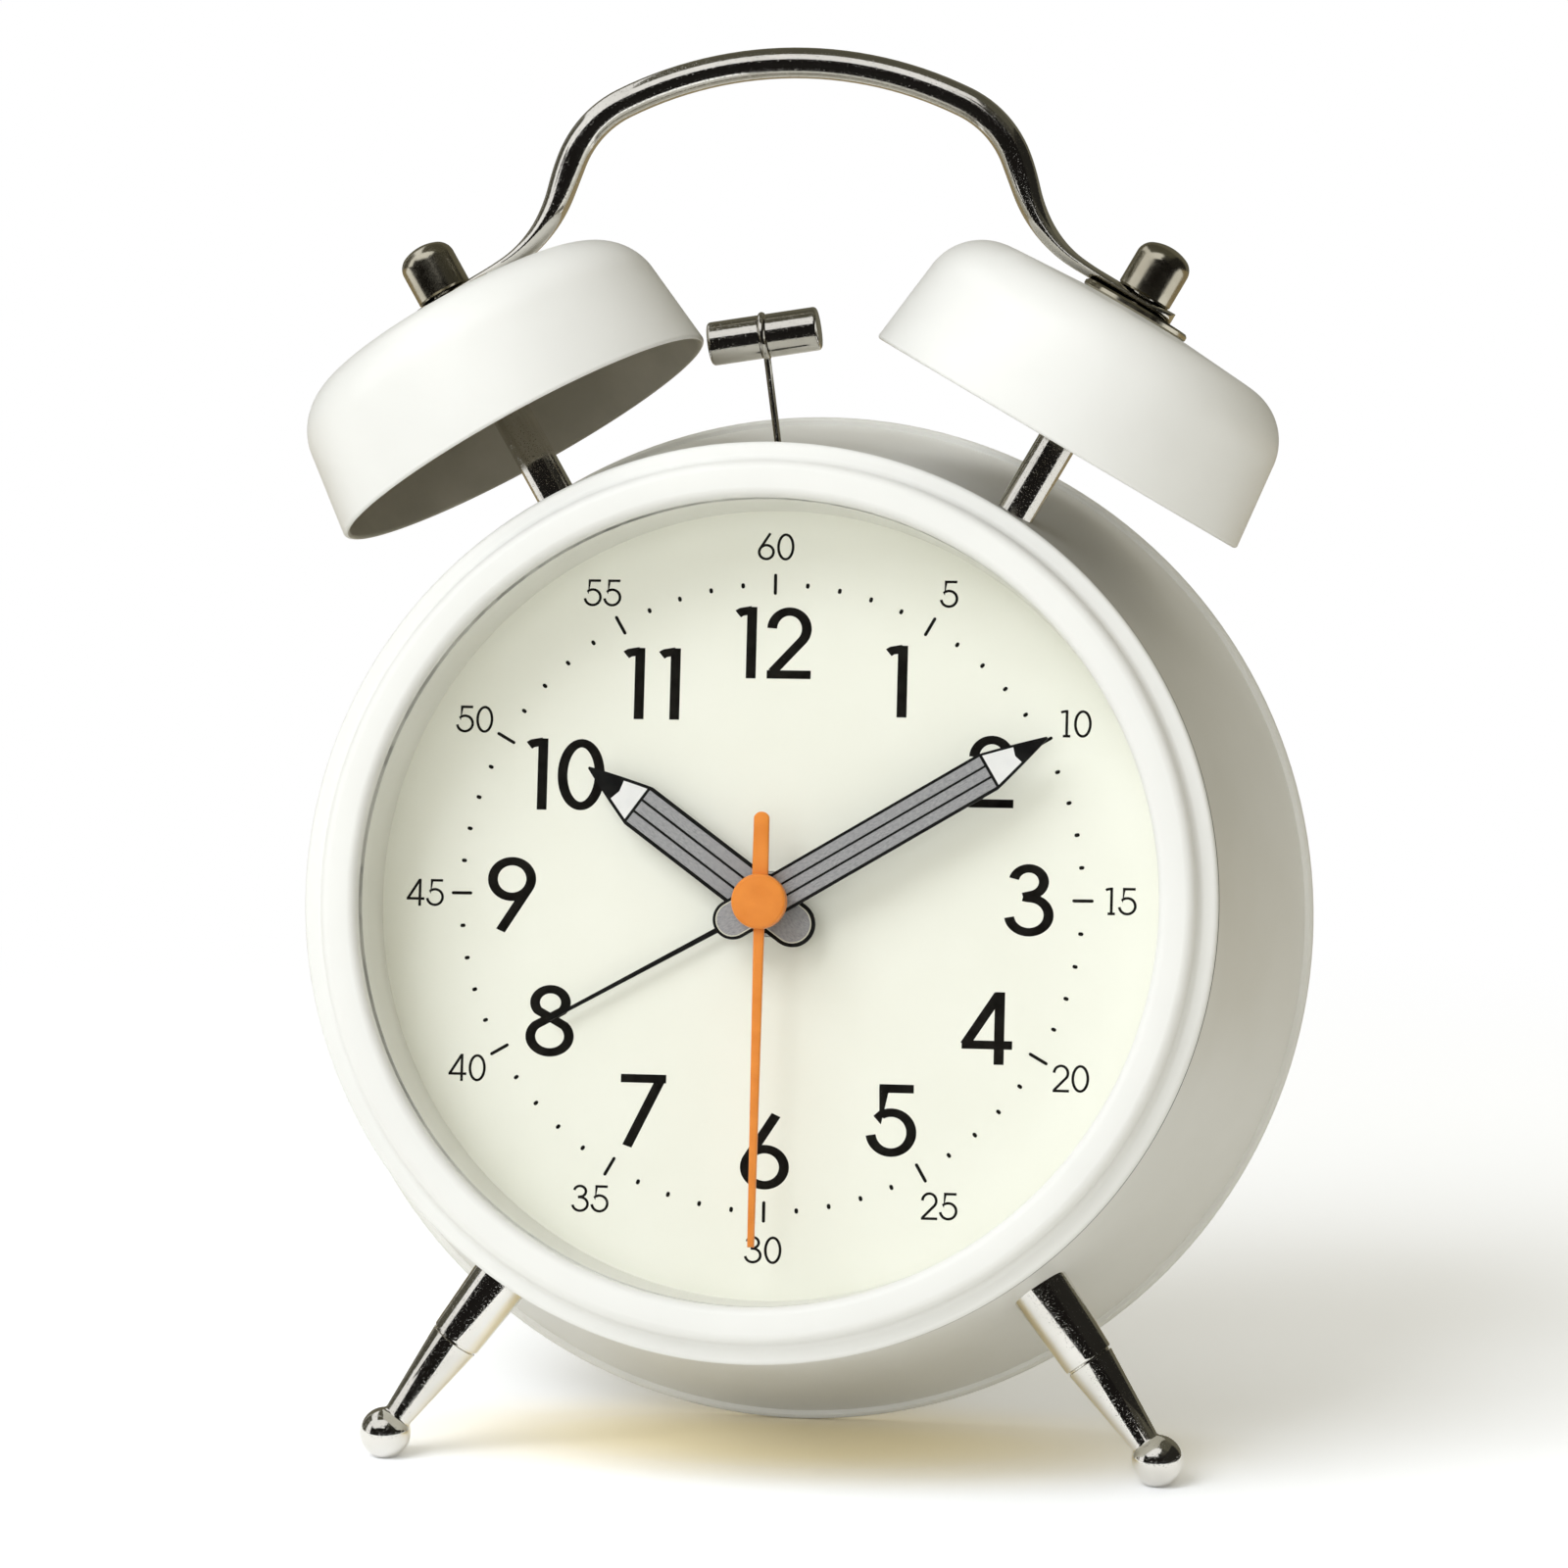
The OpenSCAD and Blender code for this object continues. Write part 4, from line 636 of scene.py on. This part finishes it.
pencilHands = {
    "minute": dict(angle=59.0, height=4.7, length=36.7, width=4.5, cone=7.6, tail=3.85, wood=0.5, outline=0.33,
                   line=0.26, body="minutes", node="minute_hand"),
    "hour": dict(angle=306.0, height=2.9, length=25.3, width=5.2, cone=7.2, tail=3.9, wood=0.42, outline=0.42,
                 line=0.28, body="hours", node="hour_hand"),
}
handInlay = dict(thick=0.46, proud=0.04, baseLine=0.34, rim=0.13, rimLow=0.01, tip=0.12, bow=0.05, inset=0.9,
                 dip=0.3, tailGap=0.2)


def coneHalf(look, share):
    half = look["width"] / 2 * (1 - share) + handInlay["tip"] * share
    return half + handInlay["bow"] * look["width"] * share * (1 - share)


def makePencilHand(name, look):
    bm = bmesh.new()
    half, base = look["width"] / 2, look["length"] - look["cone"]
    low, high = handInlay["thick"], handInlay["thick"] + handInlay["proud"]
    rightEdge = [(coneHalf(look, i / 10), base + look["cone"] * i / 10) for i in range(11)]
    leftEdge = [(-x, y) for x, y in reversed(rightEdge)]
    tail = arcPoints((0, -look["tail"]), half, 180, 360, 28)
    addPlate(bm, rightEdge + leftEdge + tail, 0, low, 0)
    inner = half - look["outline"]
    band = (2 * inner - 2 * look["line"]) / 3
    for i in range(3):
        left = -inner + i * (band + look["line"])
        addPlate(bm, [(left, 0), (left + band, 0), (left + band, base), (left, base)], low, high, 1)
    woodStart, woodEnd = base + handInlay["baseLine"], base + look["cone"] * look["wood"]
    wood = []
    for i in range(7):
        y = woodStart + (woodEnd - woodStart) * i / 6
        wood.append((coneHalf(look, (y - base) / look["cone"]) - look["outline"] * handInlay["inset"], y))
    dip = (0, woodEnd - handInlay["dip"])
    addPlate(bm, wood + [dip] + [(-x, y) for x, y in reversed(wood)], low, high, 2)
    start = -handInlay["tailGap"]
    for wide, top, paint in ((inner, high, 3), (inner - handInlay["rim"], high + handInlay["rimLow"], 1)):
        tailEdge = arcPoints((0, -look["tail"]), wide, 180, 360, 28)
        addPlate(bm, [(-wide, start)] + tailEdge + [(wide, start)], low, top, paint)
    handMap = bm.loops.layers.uv.new(barrelLook["map"])
    for face in bm.faces:
        for loop in face.loops:
            loop[handMap].uv = (loop.vert.co.x, loop.vert.co.y)
    keepPiece(name + "Pencil", bm, handFrame(look), look["body"],
              ["blackPaint", "barrelGrey", "coneWhite", "tailRim"], [look["node"]], 20)


for handName, look in pencilHands.items():
    makePencilHand(handName, look)

secondHand = dict(angle=180.0, height=6.9, length=38.3, root=0.62, tip=0.38, thick=0.5, tail=9.1, tailHalf=0.92,
                  edge=0.2, hub=3.08, hubHigh=1.4, hubEdge=0.4)


def makeSecondHand(look):
    bm = bmesh.new()
    tailEnd = arcPoints((0, -look["tail"]), look["tailHalf"], 200, 340, 10)
    root, tip, length, thick = (look[key] for key in ("root", "tip", "length", "thick"))
    addPlate(bm, [(root, 0), (tip, length), (-tip, length), (-root, 0)], 0, thick)
    addPlate(bm, [(look["tailHalf"], 0), (-look["tailHalf"], 0)] + tailEnd, 0, thick)
    tops = [edge for edge in bm.edges if all(vert.co.z > thick / 2 for vert in edge.verts)]
    roundEdges(bm, tops, look["edge"])
    hub, high, edge = look["hub"], look["hubHigh"], look["hubEdge"]
    crown = arcPoints((hub - edge, high - edge), edge, 0, 90, 6)
    joinShape(bm, spunShape([(0, 0), (hub, 0)] + crown + [(0, high)], 96))
    keepPiece("secondHand", bm, handFrame(look), "seconds",
              ["satinOrange"], ["second_hand"])


makeSecondHand(secondHand)
print("hammer and hands made")

# dial print: hour and minute numerals as strokes, and the minute track
dialPrint = dict(centre=(0.04, 0.8), turn=-0.4, proud=0.03, trackRadius=35.35, bar=(0.18, 1.2),
                 dot=(0.205, 0.3))
hourNumerals = dict(radius=28.7, high=8.1, stroke=1.14, thin=0.84, gap=0.145, oneGap=0.09,
                    tall={6: 8.45, 9: 8.45}, shift={1: -0.5, 3: 0.7, 7: -0.7, 9: 0.9, 10: -1.5, 11: -1.0})
minuteNumerals = dict(radius=39.6, high=3.08, stroke=0.31, thin=0.95, gap=0.08, slim=0.96, serif=True)


# strokes of one digit in a box of height 1, with s half the stroke and h its level half
def digitStrokes(digit, s, h, serif):
    if digit == "0":
        return 0.67, [ovalPoints(0.335, 0.5, 0.335 - s, 0.5 - h, 90, 450, 40)]
    if digit == "1":
        x = 0.23 if serif else 0.27 - s
        strokes = [[(x, 0), (x, 1)], [(x + s - 0.27, 0.90), (x + s - 0.22, 0.93), (x, 0.955)]]
        if serif:
            strokes.append([(x - 0.14, h), (x + 0.14, h)])
        return 0.42 if serif else 0.27, strokes
    if digit == "2":
        r = 0.315 - s
        top = ovalPoints(0.315, 1 - h - r, r, r, 178, -38, 24)
        return 0.63, [top + [(s * 1.25, h * 1.6)], [(0.01, h), (0.63, h)]]
    if digit == "3":
        upper = ovalPoints(0.315, 0.755, 0.28 - s, 0.245 - h, 168, -78, 24)
        lower = ovalPoints(0.325, 0.295, 0.345 - s, 0.295 - h, 92, -172, 28)
        return 0.67, [upper + [(0.24, 0.545)], [(0.24, 0.545)] + lower]
    if digit == "4":
        return 0.70, [[(0.517, 0), (0.517, 1)], [(0.0, 0.27), (0.70, 0.27)], [(0.045, 0.27), (0.50, 0.965)]]
    if digit == "5":
        bowl = ovalPoints(0.325, 0.335, 0.355 - s, 0.335 - h, 140, -172, 30)
        return 0.68, [[(0.15, 1 - h), (0.63, 1 - h)], [(0.155 + s * 0.9, 1 - h), (0.10 + s, 0.50)] + bowl[1:]]
    if digit in "69":
        across, rise, start = 0.33 - s, 0.307 - s, math.radians(148)
        ring = ovalPoints(0.33, 0.305, across, rise, 148, 508, 40)
        strokes = [ring, [(0.47, 1.0), (0.33 + across * math.cos(start), 0.305 + rise * math.sin(start))]]
        if digit == "9":
            strokes = [[(0.66 - x, 1 - y) for x, y in stroke] for stroke in strokes]
        return 0.66, strokes
    if digit == "7":
        return 0.64, [[(0.0, 1 - h), (0.64, 1 - h)], [(0.64 - s * 1.05, 1 - h), (0.11, 0)]]
    upper = ovalPoints(0.345, 0.755, 0.29 - s, 0.245 - h, -38, 218, 24)
    lower = ovalPoints(0.345, 0.285, 0.345 - s, 0.285 - h, 42, -222, 26)
    return 0.69, [upper + lower + [upper[0]]]


def placeNumeral(text, radius, turn, look, strokes):
    middle = (radius * math.sin(turn), radius * math.cos(turn))
    s = look["stroke"] / look["high"] / 2
    slim, serif = look.get("slim", 1.0), look.get("serif", False)
    drawn, width = [], 0.0
    for i, digit in enumerate(text):
        wide, lines = digitStrokes(digit, s / slim, s * look["thin"], serif)
        if i:
            width += look["gap"] + (look.get("oneGap", 0) if digit == "1" else 0)
        drawn += [[(width + x * slim, y) for x, y in line] for line in lines]
        width += wide * slim
    for line in drawn:
        strokes.append([(middle[0] + (x - width / 2) * look["high"], middle[1] + (y - 0.5) * look["high"])
                        for x, y in line])


def strokesToMesh(bm, strokes, look):
    curve = bpy.data.curves.new("printStrokes", "CURVE")
    curve.dimensions = "3D"
    curve.bevel_depth = look["stroke"] / 2
    curve.bevel_resolution = 2
    curve.use_fill_caps = True
    for line in strokes:
        closed = math.dist(line[0], line[-1]) < 0.001
        points = line[:-1] if closed else line
        spline = curve.splines.new("POLY")
        spline.points.add(len(points) - 1)
        for point, (x, y) in zip(spline.points, points):
            point.co = (x, y / look["thin"], 0, 1)
        spline.use_cyclic_u = closed
    holder = bpy.data.objects.new("printStrokes", curve)
    bpy.context.scene.collection.objects.link(holder)
    mesh = bpy.data.meshes.new_from_object(holder.evaluated_get(bpy.context.evaluated_depsgraph_get()))
    flat = (1, look["thin"], 2 * dialPrint["proud"] / look["stroke"])
    mesh.transform(Matrix.Diagonal((*flat, 1)))
    bm.from_mesh(mesh)
    bpy.data.objects.remove(holder)
    bpy.data.curves.remove(curve)
    bpy.data.meshes.remove(mesh)


def makePrint(look):
    bm = bmesh.new()
    hourStrokes, minuteStrokes = [], []
    for hour in range(1, 13):
        turn = math.radians(30 * hour + look["turn"])
        radius = hourNumerals["radius"] + hourNumerals["shift"].get(hour, 0)
        tall = hourNumerals["tall"].get(hour, hourNumerals["high"])
        placeNumeral(str(hour), radius, turn, dict(hourNumerals, high=tall), hourStrokes)
        placeNumeral(str(5 * hour), minuteNumerals["radius"], turn, minuteNumerals, minuteStrokes)
    strokesToMesh(bm, hourStrokes, hourNumerals)
    strokesToMesh(bm, minuteStrokes, minuteNumerals)
    for minute in range(60):
        wide, long = look["bar"] if minute % 5 == 0 else look["dot"]
        outline = arcPoints((0, long - wide), wide, 0, 180, 8) + arcPoints((0, wide - long), wide, 180, 360, 8)
        turn = Matrix.Rotation(math.radians(-6 * minute - look["turn"]), 3, "Z")
        placed = [(turn @ Vector((x, y + look["trackRadius"], 0))).xy for x, y in outline]
        addPlate(bm, placed, -look["proud"], look["proud"])
    place = clockFrame @ Matrix.Translation((*look["centre"], 0))
    keepPiece("dialPrint", bm, place, "case", ["printBlack"])


makePrint(dialPrint)
print("dial print made")

# back: fluted knobs, a ribbed switch and cross-slotted screws
knobTurning = dict(radius=6.5, flute=0.35, flutes=30, low=-39.5, shoulder=-34.3, foot=(5.1, -33.1), bevel=0.5,
                   cap=4.6, capEdge=0.3, capDeep=0.35, overlap=0.3)
knobPlaces = {"alarm": ("alarm_set_spin", "alarm_setting"), "time": ("time_set_spin", "time_setting")}


def makeKnob(name, jointName, body, look):
    centre = clockFrame.inverted() @ Vector(jointOf[jointName]["pos_m"])
    bm = bmesh.new()
    rim = bmesh.ops.create_circle(bm, cap_ends=True, segments=4 * look["flutes"],
                                  radius=look["radius"])["verts"]
    made = bmesh.ops.extrude_face_region(bm, geom=bm.faces[:])["geom"]
    endFace = next(part for part in made if isinstance(part, bmesh.types.BMFace))

    def fluteTo(verts, radius, height, flute):
        for vert in verts:
            angle = math.atan2(vert.co.y, vert.co.x)
            reach = radius - flute * (0.5 + 0.5 * math.cos(look["flutes"] * angle))
            vert.co = (reach * math.cos(angle), reach * math.sin(angle), height)

    radius, low, bevel, flute = (look[key] for key in ("radius", "low", "bevel", "flute"))
    fluteTo(rim, radius, look["shoulder"], flute)
    fluteTo(endFace.verts, radius, low + bevel, flute)
    # the edge rounds off, the flutes run out on the flat, and the middle is sunk
    rings = [(radius - bevel * (1 - math.cos(turn)), low + bevel * (1 - math.sin(turn)), flute)
             for turn in (math.pi / 6, math.pi / 3, math.pi / 2)]
    rings += [(look["cap"], low, 0), (look["cap"] - look["capEdge"], low + look["capDeep"], 0)]
    for ring in rings:
        bmesh.ops.inset_region(bm, faces=[endFace], thickness=0.01, depth=0)
        fluteTo(endFace.verts, *ring)
    faceOut(bm)
    footRadius, footEnd = look["foot"]
    footLow = look["shoulder"] - look["overlap"]
    joinShape(bm, spunShape([(0, footLow), (footRadius, footLow), (footRadius, footEnd), (0, footEnd)], 72))
    place = clockFrame @ Matrix.Translation((centre.x, centre.y, 0))
    keepPiece(name + "Knob", bm, place, body, ["darkPlastic"], [name + "_knob"], 30)


for knobName, (jointName, body) in knobPlaces.items():
    makeKnob(knobName, jointName, body, knobTurning)

screwHeads = dict(reach=52.03, turns=(90, 210, 330), seat=-32.8, radius=2.1, high=1.1, dish=0.08, crown=0.35,
                  shoulder=0.3, arm=1.2, armHalf=0.28, deep=0.6, twist=0.7, segments=36)


def makeScrews(look):
    bm = bmesh.new()
    arm, half, high = look["arm"], look["armHalf"], look["high"]
    top, flat = look["seat"] - high, look["radius"] - look["crown"]
    wallSteps = ((look["radius"] / flat, look["shoulder"]), (1.0, high - look["shoulder"] - look["dish"]))
    for turn in look["turns"]:
        screw = bmesh.new()
        cross = []
        for quarter in range(4):
            spun = Matrix.Rotation(quarter * math.pi / 2, 3, "Z")
            cross += [spun @ Vector(point) for point in ((arm, -half, 0), (arm, half, 0), (half, half, 0))]
        inner = [screw.verts.new((point.x, point.y, top)) for point in cross]
        slotEdges = [screw.edges.new((inner[i - 1], inner[i])) for i in range(12)]
        ring = bmesh.ops.create_circle(screw, segments=look["segments"], radius=flat)["verts"]
        bmesh.ops.translate(screw, verts=ring, vec=(0, 0, top + look["dish"]))
        wall = [edge for edge in screw.edges if edge not in slotEdges]
        bmesh.ops.bridge_loops(screw, edges=slotEdges + wall)
        lowered, floorEdges = extrudeRow(screw, slotEdges)
        bmesh.ops.translate(screw, verts=lowered, vec=(0, 0, look["deep"]))
        bmesh.ops.contextual_create(screw, geom=floorEdges)
        for grow, drop in wallSteps:
            row, wall = extrudeRow(screw, wall)
            bmesh.ops.scale(screw, vec=(grow, grow, 1), verts=row)
            bmesh.ops.translate(screw, vec=(0, 0, drop), verts=row)
        bmesh.ops.contextual_create(screw, geom=wall)
        angle = math.radians(turn)
        place = Matrix.Translation((look["reach"] * math.cos(angle), look["reach"] * math.sin(angle), 0))
        place = place @ Matrix.Rotation(angle * look["twist"], 4, "Z")
        bmesh.ops.transform(screw, matrix=place, verts=screw.verts)
        joinShape(bm, screw)
    faceOut(bm)
    keepPiece("coverScrewHeads", bm, clockFrame, "case", ["zincSteel"], ["cover_screws"], 30)


makeScrews(screwHeads)

switchKnob = dict(thumb=(6.0, 5.0), low=-34.4, high=-32.9, bevel=0.25, ribs=4, ribWide=0.5, ribHigh=0.25,
                  ribStep=1.2, ribInset=0.5, neck=(3.0, 2.8, 2.6), neckUp=1.1)


def makeSwitch(look):
    low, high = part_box("alarm_switch")
    centre = clockFrame.inverted() @ ((low + high) / 2)
    (wide, tall), low, high = look["thumb"], look["low"], look["high"]
    bm = bmesh.new()
    addBox(bm, (wide, tall, high - low), (0, 0, (low + high) / 2))
    roundEdges(bm, bm.edges[:], look["bevel"])
    for i in range(look["ribs"]):
        aside = (i - (look["ribs"] - 1) / 2) * look["ribStep"]
        addBox(bm, (look["ribWide"], tall - 2 * look["ribInset"], look["ribHigh"] * 2), (aside, 0, low))
    addBox(bm, look["neck"], (0, 0, high + look["neckUp"]))
    place = clockFrame @ Matrix.Translation((centre.x, centre.y, 0))
    keepPiece("switchThumb", bm, place, "switch", ["darkPlastic"], ["alarm_switch"], 30)


makeSwitch(switchKnob)
print("back made")

# finishes of the modelled nodes that stay as they are
nodeFinishes = {
    "clearLens": "lens", "ringWhite": "dial_surround", "dialCream": "dial", "doorPlastic": "battery_door",
    "palePlastic": "back_cover movement_housing movement_cover",
    "zincSteel": "movement_screws housing_screws bracket_screws leg_nuts post_nuts alarm_motor motor_bracket "
                 "hammer_lever",
    "brightSteel": "stator battery_contacts hammer_pin", "platedChrome": "left_post right_post hammer_wire",
    "wheelBrass": "second_wheel third_wheel step_wheel centre_wheel motion_wheel hour_wheel alarm_wheel "
                  "alarm_set_wheel time_set_wheel",
    "boardGreen": "circuit_board", "copperWinding": "stepper_coil", "sinteredMagnet": "rotor",
    "cellSleeve": "batteries", "leadRed": "lead_wires", "blackPaint": "alarm_hand",
    "darkPlastic": "motor_crank",
}
for finishName, nodeNames in nodeFinishes.items():
    for nodeName in nodeNames.split():
        mesh = frame["nodes"][nodeName].data
        mesh.materials.clear()
        mesh.materials.append(finish[finishName])
print("nodes finished:", sum(len(names.split()) for names in nodeFinishes.values()))

# floor and background: white where light falls, with painted warm shade under the case
floorLook = dict(half=3.0, lit=(0.92, 0.915, 0.89), litPaintedShade=(1.0, 0.97, 0.9), shown=(1.32, 1.34, 1.41),
                 shownPaintedShade=(0.93, 0.81, 0.54), paintedShadeScale=(1.0, 2.4, 1.0), paintedShadeFrom=0.01, paintedShadeTo=0.06, fadeFrom=0.16,
                 fadeTo=0.4)


# 1 for rays that show the background: camera, glossy and transmission
def seenRays(tree):
    path = addNode(tree, "ShaderNodeLightPath")
    total = path.outputs["Is Camera Ray"]
    for ray in ("Is Glossy Ray", "Is Transmission Ray"):
        add = addNode(tree, "ShaderNodeMath")
        add.operation = "ADD"
        add.use_clamp = True
        tree.links.new(total, add.inputs[0])
        tree.links.new(path.outputs[ray], add.inputs[1])
        total = add.outputs["Value"]
    return total


def makeFloor(look):
    bm = bmesh.new()
    bmesh.ops.create_grid(bm, x_segments=1, y_segments=1, size=look["half"])
    material, tree = startFinish("studioFloor")

    def spreadFrom(near, far, scale):
        distance = addNode(tree, "ShaderNodeVectorMath")
        distance.operation = "LENGTH"
        tree.links.new(scaledBy(tree, scale), distance.inputs[0])
        return rangeOf(tree, distance.outputs["Value"], near, far, smooth=True)

    # near the case the floor's colour darkens and warms: painted shade under the case, both where the floor is
    # seen and in the light it bounces
    def paper(colour, near):
        face = addNode(tree, "ShaderNodeBsdfDiffuse")
        spread = spreadFrom(look["paintedShadeFrom"], look["paintedShadeTo"], look["paintedShadeScale"])
        shadedUnder = [c * t for c, t in zip(colour, near)]
        tree.links.new(rampOf(tree, spread, shadedUnder, colour), face.inputs["Color"])
        return face.outputs["BSDF"]

    white = addNode(tree, "ShaderNodeEmission")
    far = spreadFrom(look["fadeFrom"], look["fadeTo"], (1, 1, 1))
    shown = mixOf(tree, far, paper(look["shown"], look["shownPaintedShade"]), white.outputs["Emission"])
    endFinish(tree, mixOf(tree, seenRays(tree), paper(look["lit"], look["litPaintedShade"]), shown))
    floor = linkMesh("studioFloor", bm, [material])


makeFloor(floorLook)

worldLook = dict(light=(1.0, 0.94, 0.74), strength=0.38)


def makeWorld(look):
    world = bpy.data.worlds.new("studioWorld")
    bpy.context.scene.world = world
    world.use_nodes = True
    tree = world.node_tree
    tree.nodes.clear()
    lit = addNode(tree, "ShaderNodeBackground", {"Color": (*look["light"], 1), "Strength": look["strength"]})
    shown = addNode(tree, "ShaderNodeBackground", {"Color": (1, 1, 1, 1)})
    mixed = mixOf(tree, seenRays(tree), lit.outputs["Background"], shown.outputs["Background"])
    endFinish(tree, mixed, "ShaderNodeOutputWorld")


makeWorld(worldLook)

# dark studio flags that only the metal mirrors
studioFlags = {
    "frontFlag": ((-1.9, -1.9, 0.0), (2.2, 0, 0), (0, 0, 1.2), (0.012, 0.011, 0.010)),
    "frontRightFlag": ((0.3, -1.9, 0.0), (1.6, 0, 0), (0, 0, 2.0), (0.012, 0.011, 0.010)),
    "frontLeftFlag": ((-1.9, -1.9, 0.0), (0.1, 0.9, 0), (0, 0, 1.2), (0.012, 0.011, 0.010)),
    "frontFloorFlag": ((-1.9, -1.9, 0.002), (3.8, 0, 0), (0, 1.77, 0), (0.014, 0.013, 0.012)),
    "nearFloorFlag": ((-0.3, -0.13, 0.002), (0.288, 0, 0), (0, 0.083, 0), (0.014, 0.013, 0.012)),
    "rightFlag": ((1.7, -1.9, 0.0), (0, 3.3, 0), (0, 0, 1.7), (0.022, 0.021, 0.018)),
    "topFlag": ((-0.9, -0.6, 1.7), (2.6, 0, 0), (0, 2.0, 0), (0.10, 0.095, 0.07)),
    "topRightFlag": ((0.6, -1.9, 1.7), (1.1, 0, 0), (0, 1.3, 0), (0.06, 0.057, 0.045)),
    "backFlag": ((-1.7, 1.4, 0.0), (3.4, 0, 0), (0, 0, 1.7), (0.15, 0.14, 0.10)),
    "backFloorFlag": ((-1.7, 0.12, 0.002), (3.4, 0, 0), (0, 1.28, 0), (0.32, 0.26, 0.15)),
    "leftFlag": ((-1.8, -0.15, 0.0), (0, 1.55, 0), (0, 0, 1.65), (0.09, 0.085, 0.065)),
}


def addFlag(name, corner, across, up, colour):
    bm = bmesh.new()
    start, across, up = Vector(corner), Vector(across), Vector(up)
    points = (start, start + across, start + across + up, start + up)
    bm.faces.new([bm.verts.new(point) for point in points])
    material, tree = startFinish(name)
    glow = addNode(tree, "ShaderNodeEmission", {"Color": (*colour, 1)})
    endFinish(tree, glow.outputs["Emission"])
    flag = linkMesh(name, bm, [material])
    flag.visible_camera = flag.visible_diffuse = flag.visible_transmission = flag.visible_shadow = False


for flagName, flagLook in studioFlags.items():
    addFlag(flagName, *flagLook)

studioLamps = {
    "keyLamp": dict(place=(-0.8, -1.05, 1.3), aim=(0, 0, 0.07), size=(1.2, 1.0), power=18.5),
    "fillLamp": dict(place=(-0.2, -1.6, 0.3), aim=(0, 0, 0.08), size=(1.2, 0.9), power=7.5),
    "topLamp": dict(place=(-0.15, 0.1, 1.7), aim=(0, 0, 0.1), size=(1.4, 1.2), power=4.5),
}
lampColour = (0.92, 0.955, 1.0)


def addLamp(name, look):
    lamp = bpy.data.lights.new(name, "AREA")
    lamp.shape = "RECTANGLE"
    lamp.size, lamp.size_y = look["size"]
    lamp.energy = look["power"]
    lamp.color = lampColour
    holder = bpy.data.objects.new(name, lamp)
    holder.location = look["place"]
    holder.rotation_euler = (Vector(look["aim"]) - Vector(look["place"])).to_track_quat("-Z", "Y").to_euler()
    holder.visible_glossy = False
    bpy.context.scene.collection.objects.link(holder)


for lampName, lampLook in studioLamps.items():
    addLamp(lampName, lampLook)

# camera at the photograph's viewing angle, in the clock frame
photoView = dict(turn=(-8.411, -3.59, -0.957), offset=(1.682, 13.509, 551.589), focal=5000.0, frame=1600.0)


def makeCamera(look):
    yaw, pitch, roll = (math.radians(angle) for angle in look["turn"])
    view = Matrix.Rotation(yaw, 3, "Y") @ Matrix.Rotation(pitch, 3, "X") @ Matrix.Rotation(roll, 3, "Z")
    eye = view.transposed() @ Vector(look["offset"])
    turned = clockFrame.to_3x3().normalized() @ view.transposed()
    data = bpy.data.cameras.new("photoView")
    data.sensor_width = 36.0
    data.lens = 36.0 * look["focal"] / look["frame"]
    data.clip_start = 0.01
    camera = bpy.data.objects.new("photoView", data)
    camera.matrix_world = Matrix.Translation(clockFrame @ eye) @ turned.to_4x4()
    bpy.context.scene.collection.objects.link(camera)
    bpy.context.scene.camera = camera


makeCamera(photoView)
print("studio made")
